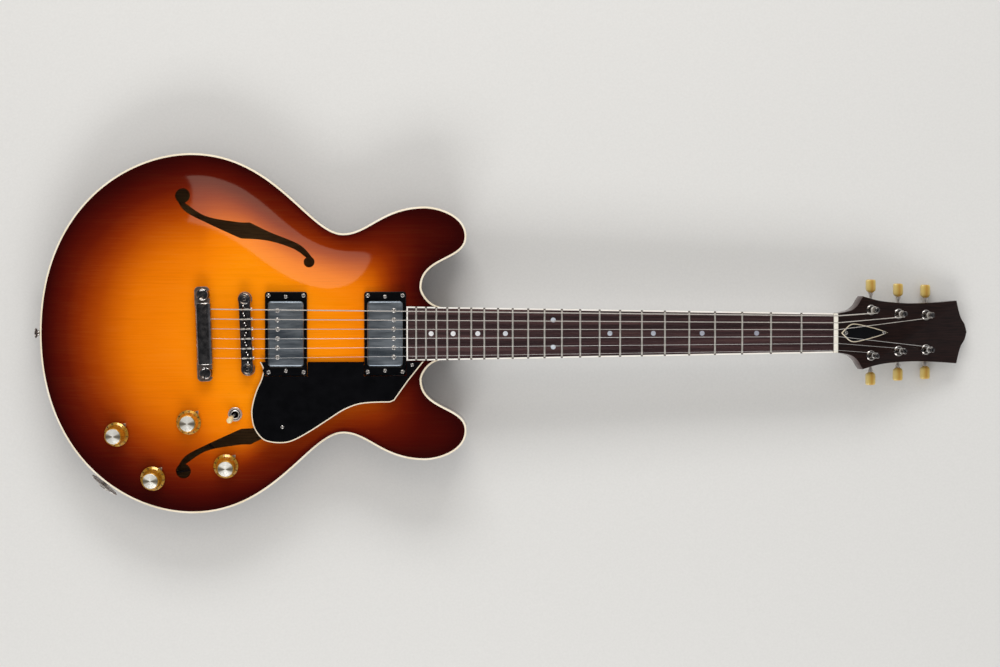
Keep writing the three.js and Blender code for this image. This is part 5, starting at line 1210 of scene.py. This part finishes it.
def bar_outline(half_x, half_y, shrink):
    """A bar with round ends a little wider than itself."""
    points = []
    radius = half_x + 0.1 - shrink
    for side in (1, -1):
        for k in range(17):
            angle = pi / 2 * side - pi / 2 * (k - 8) / 8 * 0.93
            points.append((radius * cos(angle), side * half_y + radius * sin(angle)))
        waist = side * (0.93 * half_x - shrink)
        points += [(waist, side * 31.5), (waist, -side * 31.5)]
    return points[::-1]


layers = [
    (0.3, BRIDGE_BASE), (0, BRIDGE_BASE + 0.3), (0, BRIDGE_TOP - 0.7), (0.2, BRIDGE_TOP - 0.2),
    (0.7, BRIDGE_TOP),
]
bar = lofted(bmesh.new(), [at_height(bar_outline(6.7, BRIDGE_POST_Y, d), z) for d, z in layers])
bar = carve(bar, box(bmesh.new(), -5, 5, -31, 31, BRIDGE_FLOOR, 80))
bores = bmesh.new()
for side in (1, -1):
    prism(bores, circle(0, side * BRIDGE_POST_Y, 2.3, 24), 60, 80)
bar = carve(bar, bores)
collar = [
    (2.35, 73.5), (5.7, 73.5), (5.7, 74.6), (5.2, 74.95), (4.2, 74.7), (3.2, 75.05), (2.6, 75.0),
    (2.35, 74.7),
]
for side in (1, -1):
    lofted(bar, [at_height(circle(0, side * BRIDGE_POST_Y, r, 36), z) for r, z in collar], closed=True)
piece("bridge_bar", bar, [nickel], place=BRIDGE, stands_for="bridge_base")
saddle_head = slotted_head(1.9, 1.3, 0.4, 0.55)
threads = bmesh.new()
for i in range(6):
    y = string_spread(i, BRIDGE_SPREAD)
    profile = [(0, -5.1)]
    for k in range(20):
        z = -5.1 + k * 0.51
        profile += [(0.85, z), (1.1, z + 0.25)]
    profile += [(0.85, 5.1), (0, 5.1)]
    turned(threads, profile, 14, BRIDGE @ shifted(0, y, SADDLE_AXIS) @ turning(90, "Y"))
    spot = BRIDGE @ shifted(6.7, y, SADDLE_AXIS) @ turning(90, "Y")
    stamped(threads, saddle_head, spot @ turning(40 * i, "Z"))
piece("saddle_screws", threads, [screw_nickel, black_plastic])

# Saddles: small brass blocks plated in nickel, each bored for its screw.
# They slope up to a crest that the string bends over.
for i in range(6):
    y = string_spread(i, BRIDGE_SPREAD)
    crest = SADDLE_HEIGHT - camber(y) - GAUGES[i] - 0.15
    profile = [(-2, SADDLE_FOOT), (2, SADDLE_FOOT), (2, 74.1), (0.5, crest - 0.05), (0.2, crest)]
    profile += [(-0.2, crest), (-0.5, crest - 0.05), (-2, 74.1)]
    layers = [(-4.7, 0.68), (-3.4, 0.98), (-3.1, 1), (3.1, 1), (3.4, 0.98), (4.7, 0.68)]
    loops = [
        [(x * k, w, SADDLE_FOOT + (z - SADDLE_FOOT) * (0.5 + k / 2)) for x, z in profile] for w, k in layers
    ]
    block = lofted(bmesh.new(), loops)
    tool = prism(bmesh.new(), circle(0, 0, 1.7, 16), -6, 6)
    tool.transform(shifted(0, 0, SADDLE_AXIS) @ turning(90, "Y"))
    block = carve(block, tool)
    place = BRIDGE @ shifted(SADDLE_SETTINGS[i], y, 0)
    piece(
        f"saddle_block_{i + 1}", block, [nickel], body=f"saddle_{i + 1}", place=place,
        stands_for=f"saddle_{i + 1}",
    )

# Bridge posts: threaded studs screwed into the centre block, slotted on top.
# A knurled wheel on each sets the height of the bridge.
for post, side in zip(BRIDGE_POSTS, ("bass", "treble")):
    valleys, ridges = circle(0, 0, 7.45, 120), circle(0, 0, 7.8, 120)
    knurl = [ridges[k] if k % 2 else valleys[k] for k in range(120)]
    layers = [(0.93, 65.5), (1, 65.9), (1, 67.5), (0.93, 67.9)]
    stud = turned(bmesh.new(), [(0, 67.8), (2, 67.8), (2, 75.1), (1.6, 75.5), (0, 75.5)], 24)
    wheel = carve(stud, box(bmesh.new(), -3, 3, -0.35, 0.35, 74.6, 77))
    turned(wheel, [(0, 40.3), (2, 40.3), (2, 65.6), (0, 65.6)], 20)
    lofted(wheel, [[(x * k, y * k, z) for x, y in knurl] for k, z in layers])
    piece(
        f"bridge_wheel_{side}", wheel, [nickel],
        place=shifted(post.x, post.y, 0) @ turning(35, "Z"), stands_for=f"bridge_post_{side}",
    )

# Tailpiece: a cast bar plated in nickel that the strings pass through.
# Its flat lugs hook under the heads of two studs, whose bushes are pressed into the centre block.
TAIL_Z, TAIL_HALF_X, BAR_END, LUG_CORNER, LUG_SLOT = 71.5, 8.7, 33, 5, 4.1


def bar_section(y, share):
    half, rise = TAIL_HALF_X * share, 5.8 * share
    return [(half * u, y, TAIL_Z + rise * v) for u, v in squarish(56, 0.7, 0.9)]


lug_metal = mottled(
    "worn_cast_nickel", (260, 260, 260), "85776f", "aca097", 4, 0.32, 0.66, Metallic=0.8, Roughness=0.3
)
rounding = [(BAR_END, 0.9), (32.7, 0.95), (32, 0.985), (31, 1)]
sections = [bar_section(-y, share) for y, share in rounding] + [
    bar_section(y, share) for y, share in rounding[::-1]
]
body_bar = lofted(bmesh.new(), sections)
for side in (1, -1):
    quarter = [a / 10 * pi / 2 for a in range(11)]
    rim = [(2.4 + LUG_CORNER * cos(a), side * (45.6 + LUG_CORNER * sin(a))) for a in quarter]
    rim += [(-3.7 - LUG_CORNER * sin(a), side * (45.6 + LUG_CORNER * cos(a))) for a in quarter]
    outline = (rim + [(-TAIL_HALF_X, side * 30), (7.4, side * 30)])[::side]
    shrunk = [(x * 0.95, y - side * 0.4) for x, y in outline]
    layers = [(shrunk, -3), (outline, -2.5), (outline, 2.5), (shrunk, 3)]
    lug = lofted(bmesh.new(), [at_height(edge, TAIL_Z + z) for edge, z in layers])
    stud_y = side * TAIL_POST_Y
    lug = carve(lug, box(bmesh.new(), 0, 14, stud_y - LUG_SLOT, stud_y + LUG_SLOT, 60, 80))
    lug = carve(lug, prism(bmesh.new(), circle(0, stud_y, LUG_SLOT, 28), 60, 80))
    body_bar = carve(body_bar, lug, "UNION")
bores = bmesh.new()
for i in range(6):
    place = shifted(0, string_spread(i, BRIDGE_SPREAD), TAIL_Z) @ turning(90, "Y")
    turned(bores, [(0, -12), (2.2, -12), (2.2, -4.9), (1.6, -4.9), (1.6, 12), (0, 12)], 16, place)
body_bar = carve(body_bar, bores)
tailpiece = piece(
    "tailpiece_bar", body_bar, [nickel, lug_metal], place=TAILPIECE, stands_for="tailpiece"
)
second_finish(tailpiece, lambda face: abs((TAILPIECE.inverted() @ (face.center / MM)).y) > BAR_END + 0.4)
for post, side, angle in zip(TAILPIECE_POSTS, ("bass", "treble"), (48, 82)):
    stud = turned(bmesh.new(), [
        (0, 42.3), (5.6, 42.3), (5.6, 66.6), (6.6, 66.6), (6.6, 68.2), (3.8, 68.2), (3.8, 74.8), (6.2, 74.8),
        (6.6, 75.2), (6.6, 76.4), (6.45, 76.9), (6.1, 77.35), (5.6, 77.6), (5.1, 77.55), (4.7, 77.3),
        (4.4, 77.15), (0, 77.1),
    ], 40)
    stud = carve(stud, box(bmesh.new(), -7, 7, -0.8, 0.8, 76.3, 79))
    piece(
        f"tailpiece_post_{side}", stud, [nickel],
        place=shifted(post.x, post.y, 0) @ turning(angle, "Z"), stands_for=f"tailpiece_stud_{side}",
    )

# Knobs: clear amber plastic over gold paint, stepped like a hat and pushed on the shafts of the pots.
# Each has numbers round its brim, a cap of spun silver foil, and a pointer of sheet nickel under it.
shine = {"Metallic": 0.55, "Roughness": 0.3, "Coat_Weight": 1.0, "Coat_Roughness": 0.04}
gold_plastic = mottled("gold_knob", (500, 500, 90), "a87210", "e2a92e", **shine)
spun = Finish("spun_silver_cap")
# The cap's base colour holds a painted bow-tie reflection: light over most of it, dark in narrow sectors
# towards the seat's ±x.
sweep = spun.attribute("sweep")
radius_of = spun.attribute("radius")
groove = spun.node("Math", {"operation": "SINE"}, {0: radius_of * 21.0})
chatter = spun.noise((900, 900, 900), 2)
spun_silver = spun.surface(
    Base_Color=spun.ramp(
        sweep + (chatter - 0.5) * 0.04, (0.0, "f6f3ea"), (0.84, "ece8dd"), (0.95, "a59d8c"), (1.0, "736b5e")
    ),
    Metallic=0.4,
    Roughness=0.3,
    Normal=spun.bump(groove * 0.5 + 0.5, 0.00004),
)
number_ink = mottled("brown_numbers", (1500, 1500, 1500), "1c1006", "3a220b", 2, Roughness=0.5)


def figures():
    """The numbers 0 to 10 laid round the slope of a knob's brim, in the knob's own frame."""
    ring = bmesh.new()
    for number in range(11):
        text = bpy.data.curves.new("figure", "FONT")
        text.body = str(number)
        text.size = 2.7
        text.align_x = text.align_y = "CENTER"
        text.extrude = 0.05
        text.offset = 0.09
        holder = bpy.data.objects.new("figure", text)
        bpy.context.collection.objects.link(holder)
        flat_text = bpy.data.meshes.new_from_object(
            holder.evaluated_get(bpy.context.evaluated_depsgraph_get())
        )
        bpy.data.objects.remove(holder)
        bpy.data.curves.remove(text)
        flat_text.transform(turning(-30 * number, "Z") @ shifted(0, 11.9, 3.92) @ turning(-30, "X"))
        ring.from_mesh(flat_text)
        bpy.data.meshes.remove(flat_text)
        tick = box(bmesh.new(), -0.3, 0.3, 12.95, 13.3, 1.9, 2.9)
        stamped(ring, tick, turning(-30 * number - 15, "Z"))
        tick.free()
    return ring


number_ring = figures()
for i, seat in enumerate(KNOB_SEATS):
    number = i + 1
    turned_to = turning((-40, -62, -35, -50)[i], "Z")
    hat = turned(bmesh.new(), [
        (0, -4.8), (3, -4.8), (3, 7.6), (7.6, 7.6), (7.6, 1.6), (13, 1.6), (13.2, 1.8), (13.2, 2.9),
        (13, 3.15), (10.9, 4.4), (10.75, 4.6), (10.6, 5), (9.35, 15.7), (9.2, 16.1), (8.9, 16.45),
        (8.5, 16.6), (8.3, 16.5), (8.3, 16.3), (0, 16.3),
    ], 64)
    piece(
        f"knob_hat_{number}", hat, [gold_plastic], body=f"knob_{number}",
        place=seat @ turned_to, stands_for=f"knob_{number}", crease=40,
    )
    rings = [(r, 16.75 + 0.32 * (1 - (r / 8) ** 2)) for r in np.linspace(0.0, 7.6, 20)]
    cap = turned(bmesh.new(), [(0, 16.2), (8.1, 16.2), (8.1, 16.55), (7.9, 16.72), *rings[::-1]], 64)
    top_disc = piece(
        f"knob_cap_{number}", cap, [spun_silver], body=f"knob_{number}",
        place=seat @ turned_to,
    )
    back_home = seat.inverted()
    flat_places = [(back_home @ Vector(p)).xy for p in points_of(top_disc)]
    marked(top_disc, "radius", [p.length for p in flat_places])
    # Each point's angle round the cap sets the painted bow-tie reflection in its colour.
    marked(top_disc, "sweep", [abs(p.x) / max(p.length, 0.01) for p in flat_places])
    marks = bmesh.new()
    stamped(marks, number_ring, Matrix.Identity(4))
    piece(
        f"knob_numbers_{number}", marks, [number_ink], body=f"knob_{number}",
        place=seat @ turned_to, closed=False,
    )
    loops = []
    for x, half, z in ((4, 5, 0.35), (11, 3.2, 0.35), (13.6, 1.9, 0.5), (14.3, 1.6, 1.6), (16.4, 0.3, 3.4)):
        loops.append([(x, half, z), (x, -half, z), (x, -half, z + 0.5), (x, half, z + 0.5)])
    pointer = lofted(bmesh.new(), loops)
    piece(f"knob_pointer_{number}", pointer, [screw_nickel], place=seat @ turning(50, "Z"))

# Pickup switch: a steel frame under the top whose threaded bush is held by a knurled nut on a washer.
# The lever rocks across it and carries a cream plastic tip.
SWITCH_TURN, SWITCH_ROCK = radians(139), radians(17)
ROCK_AXIS = Vector((sin(SWITCH_TURN), cos(SWITCH_TURN), 0))
SWITCH_LEVER = SWITCH_SEAT @ shifted(0, 0, -6) @ Matrix.Rotation(SWITCH_ROCK, 4, ROCK_AXIS)


def in_the_gaps(face):
    """Picks the ring between nut and bush, and the bush's inside, which take black plastic as painted shade.
    """
    reach = (SWITCH_SEAT.inverted() @ (face.center / MM)).xy.length
    return 5.15 < reach < 5.85 or reach < 3.9


nut_mesh = turned(bmesh.new(), [
    (0, -20), (5.9, -20), (5.9, 0.3), (7.55, 0.35), (7.55, 0.95), (7.3, 1.15), (6.75, 1.0), (6.75, 2.8),
    (6.5, 3.2), (5.85, 3.3), (5.3, 2.5), (5.1, 2.5), (4.9, 3.1), (4.4, 3.4), (3.9, 3.2), (3.2, 0.6),
    (2.4, -2.6), (0, -2.6),
], 48)
# The groove between nut and bush and the inside of the bush are black: painted shade.
bush = piece(
    "switch_nut", nut_mesh, [screw_nickel, black_plastic], place=SWITCH_SEAT,
    stands_for="switch_body",
)
second_finish(bush, in_the_gaps)
frame_box = rounded_box(bmesh.new(), -18, 18, -7.5, 7.5, -21.2, -6.4, 0.8, 2)
piece("switch_frame", frame_box, [screw_nickel], place=SWITCH_SEAT @ turning(-139, "Z"))
cream_tip = mottled("cream_switch_tip", (250, 250, 250), "e8cf92", "f6e6ba", Roughness=0.3, Coat_Weight=0.5)
lever_edge = [(0, -2.2), (1.6, -1.6), (2.2, 0), (1.6, 1.6), (1.3, 2.6), (1.4, 13.4), (0, 13.4)]
lever = turned(bmesh.new(), lever_edge, 24)
piece(
    "switch_lever_rod", lever, [screw_nickel], body="switch_lever", place=SWITCH_LEVER,
    stands_for="switch_lever",
)
tip_edge = [
    (0, 13), (2, 13), (2.3, 13.4), (2.75, 16), (3.1, 19.5), (3.2, 22), (3.0, 24), (2.4, 25.3), (1.4, 25.9)
]
tip = turned(bmesh.new(), [*tip_edge, (0, 26)], 28)
piece("switch_tip", tip, [cream_tip], body="switch_lever", place=SWITCH_LEVER)

# Output jack: an oval nickel plate that bridges the curved side, held by two screws.
# The jack's nut and the mouth of its barrel stand in the middle of it.
def stadium(shrink):
    half = 9.5 - shrink
    angles = [(k + 0.5) / 40 * tau for k in range(40)]
    return [(half * cos(a) + copysign(7.5, cos(a)), half * sin(a)) for a in angles]


layers = [(0.3, 0.9), (0, 1.1), (0, 2.1), (0.4, 2.5)]
plate = lofted(bmesh.new(), [at_height(stadium(d), z) for d, z in layers])
plate = carve(plate, prism(bmesh.new(), circle(0, 0, 3.25, 32), -5, 9))
for side in (1, -1):
    stamped(plate, small_head, shifted(side * 13, 0, 2.4) @ turning(30 * side, "Z"))
hexagon, layers = circle(0, 0, 6.6, 6), [(0.94, 2.5), (1, 2.8), (1, 4.4), (0.9, 4.9)]
nut_ring = lofted(bmesh.new(), [[(x * k, y * k, z) for x, y in hexagon] for k, z in layers])
nut_ring = carve(nut_ring, prism(bmesh.new(), circle(0, 0, 4.7, 32), 0, 9))
barrel = [(4.7, -8.5), (4.7, 5.0), (4.5, 5.1), (3.4, 5.1), (3.25, 4.9), (3.25, -21)]
tube = lofted(bmesh.new(), [at_height(circle(0, 0, r, 32), z) for r, z in barrel], closed=True)
stamped(plate, nut_ring, Matrix.Identity(4))
stamped(plate, tube, Matrix.Identity(4))
piece(
    "jack_plate_and_nut", plate, [screw_nickel, black_plastic], place=JACK,
    stands_for="output_jack",
)

# Strap buttons: turned nickel mushrooms on wood screws.
# One is screwed into the butt and one into the back under the heel.
for which, place in (("end", STRAP_END), ("heel", shifted(219, 0, 12) @ turning(180, "X"))):
    button = turned(bmesh.new(), [
        (0, -22), (1.8, -20), (1.8, 0.3), (4.8, 0.3), (5, 0.6), (4.6, 1.2), (3.5, 2.5), (3, 3.6), (3, 5),
        (3.5, 6.2), (4.8, 7.1), (5.6, 7.6), (5.6, 8.2), (5.2, 8.65), (4, 8.9), (2.6, 8.9), (2.4, 8.3),
        (0, 8.3),
    ], 36, place)
    piece(
        f"strap_button_turned_{which}", button, [nickel], stands_for=f"strap_button_{which}"
    )

# Pickguard: five-ply plastic, black on top, with its edge cut at a slant that shows as an ivory line.
# It stands off the top on a spacer by the neck and a bracket by the sound hole, with a screw in each.
GUARD_X, GUARD_Y, GUARD_Z, GUARD_TILT = 187, -30, 58.2, 3.2
GUARD_LENGTH, GUARD_WIDTH, GUARD_THICK = 184, 86.6, 2.4
NOTCH_HALF, NOTCH_Y = 22.65, -15.25
SPACER_X, BRACKET_X = 174.7, 36.1
GUARD = shifted(GUARD_X, GUARD_Y, GUARD_Z) @ turning(GUARD_TILT, "Y")
GUARD_EDGE = [
    (0.95, 0), (0.932, 0.09), (0.941, 0.206), (0.972, 0.358), (0.995, 0.533), (0.999, 0.665),
    (0.983, 0.82), (0.936, 0.952), (0.879, 0.995), (0.807, 1), (0.745, 0.962), (0.652, 0.853),
    (0.548, 0.71), (0.465, 0.599), (0.383, 0.53), (0.3, 0.508), (0.196, 0.503),
]


def guard_outline():
    near = [(0, 0)]
    for x in (NECK_PICKUP_X, BRIDGE_PICKUP_X):
        right, left = x + NOTCH_HALF - GUARD_X, x - NOTCH_HALF - GUARD_X
        near += [(right, 0), (right, NOTCH_Y), (left, NOTCH_Y), (left, 0)]
    shares = spline(GUARD_EDGE, 90) + [(0.196, 0.503), (0.17, 0.479), (0.093, 0.248)]
    return near + [(-x * GUARD_LENGTH, -y * GUARD_WIDTH) for x, y in shares]


guard = prism(bmesh.new(), guard_outline(), 0, GUARD_THICK)
bmesh.ops.recalc_face_normals(guard, faces=guard.faces[:])
rims = []
for edge in guard.edges:
    a, b = (v.co for v in edge.verts)
    straight = abs(a.y - b.y) < 0.01 or abs(a.x - b.x) < 0.01
    if min(a.z, b.z) > GUARD_THICK - 0.1 and not (max(a.y, b.y) > NOTCH_Y - 0.1 and straight):
        rims.append(edge)
bmesh.ops.bevel(guard, geom=rims, offset=1.25, segments=1, profile=0.5, affect="EDGES", material=1)
piece(
    "pickguard_sheet", guard, [black_plastic, ivory_plastic], place=GUARD,
    stands_for="pickguard",
)
props = bmesh.new()
for x, y in ((SPACER_X, -35.6), (BRACKET_X, -110.4)):
    low = top_height(x, y) + SEAT
    high = GUARD_Z + (GUARD_X - x) * tan(radians(GUARD_TILT)) + 0.2
    turned(props, [(0, low), (3.6, low), (3.6, high), (0, high)], 24, shifted(x, y, 0))
rounded_box(props, BRACKET_X - GUARD_X - 4, BRACKET_X - GUARD_X + 4, -84.4, -66.4, -2.2, 0.05, 0.3, 1)
for v in props.verts:
    if v.co.x < 0:
        v.co = GUARD @ v.co
piece("pickguard_props", props, [screw_nickel])
fixings = bmesh.new()
for x, y in ((SPACER_X, -33.4), (BRACKET_X, -99.5)):
    stamped(fixings, round_head, GUARD @ shifted(x - GUARD_X, y - GUARD_Y, 2.35) @ turning(15 + x, "Z"))
piece("pickguard_screws", fixings, [screw_nickel, black_plastic])

# Strings: steel wires, the three thick ones wound in nickel, each with a brass ball in the tailpiece.
# They run over saddle and nut to the posts, and two or three times round them.
wound = Finish("wound_string")
travel = wound.attribute("travel")
coil = wound.node("Math", {"operation": "SINE"}, {0: travel * 17.0}) * 0.5 + 0.5
wound_metal = wound.surface(
    Base_Color=wound.ramp(coil, (0.0, "a8a199"), (0.6, "e9e3da")),
    Metallic=0.45,
    Roughness=0.36,
    Normal=wound.bump(coil, 0.00008),
)
plain_metal = mottled("plain_string", (60, 3000, 3000), "d9d7d3", "ebe9e5", 2, Metallic=0.45, Roughness=0.3)


BALL_X = -5


def string_path(i):
    y, radius = string_spread(i, BRIDGE_SPREAD), GAUGES[i]
    points = [TAILPIECE @ Vector((x, y, TAIL_Z)) for x in (BALL_X, 8.85)]
    points.append(BRIDGE @ Vector((SADDLE_SETTINGS[i], y, SADDLE_HEIGHT - camber(y))))
    nut_y, nut_z = string_spread(i, NUT_SPREAD), nut_string_height(i)
    points += [Vector((x, nut_y, nut_z)) for x in (NUT_X, NUT_X + NUT_THICK)]
    x, y, side = post_place(i)
    around = 2.6 + radius + 0.15
    turns = 2 if i < 3 else 3
    for k in range(turns * 24 + 1):
        angle = side * (k / 24 * tau - pi / 2)
        height = 9.6 - (2 * radius + 0.46) * k / 24
        points.append(HEAD @ Vector((x + around * cos(angle), y + around * sin(angle), height)))
    points.append(HEAD @ (HEAD.inverted() @ points[-1] + Vector((4, 0, 0))))
    return points


def wire(mesh, path, radius, sides):
    """A tube along a path whose cross-section is carried without twist; returns the length at each ring."""
    ways = []
    for k in range(len(path)):
        ways.append((path[min(k + 1, len(path) - 1)] - path[max(k - 1, 0)]).normalized())
    across = Vector((0, 0, 1)).cross(ways[0]).normalized()
    angles = [j / sides * tau for j in range(sides)]
    loops, lengths, length = [], [], 0.0
    for k, (point, way) in enumerate(zip(path, ways)):
        across = (across - way * across.dot(way)).normalized()
        up = way.cross(across)
        length += (point - path[k - 1]).length if k else 0
        lengths += [length] * sides
        loops.append([point + across * radius * cos(a) + up * radius * sin(a) for a in angles])
    lofted(mesh, loops)
    return lengths


for i in range(6):
    strand = bmesh.new()
    path = string_path(i)
    lengths = wire(strand, path, GAUGES[i], 10)
    finish = wound_metal if i < 3 else plain_metal
    made = piece(
        f"string_wire_{i + 1}", strand, [finish], stands_for=f"string_{i + 1}", crease=60
    )
    if len(made.data.vertices) == len(lengths):
        marked(made, "travel", lengths)
    ball = bmesh.new()
    place = TAILPIECE @ shifted(BALL_X, string_spread(i, BRIDGE_SPREAD), TAIL_Z) @ turning(-90, "Y")
    turned(
        ball, [(0, 0), (1.5, 0), (1.9, 0.4), (1.9, 2.8), (1.5, 3.2), (0.7, 3.2), (0.7, 2.2), (0, 2.2)], 20,
        place,
    )
    piece(f"string_ball_{i + 1}", ball, [screw_nickel])

# Wiring: the four pots under the knobs, joined by their earthing braid of tinned wire; all of it is coloured
# near black, as painted shade for the dark inside of the body.
# Their bushes are bolted through the top; the CAD's own piece shows them.
# Near-black tin: painted shade inside the body.
tin_painted_shade = mottled("tin_painted_shade", (300, 300, 300), "1f1b18", "332d28", Metallic=0.3, Roughness=0.6)
dressed("wiring_harness", tin_painted_shade)

cad_box = [list(cad_box[0]), list(cad_box[1])]
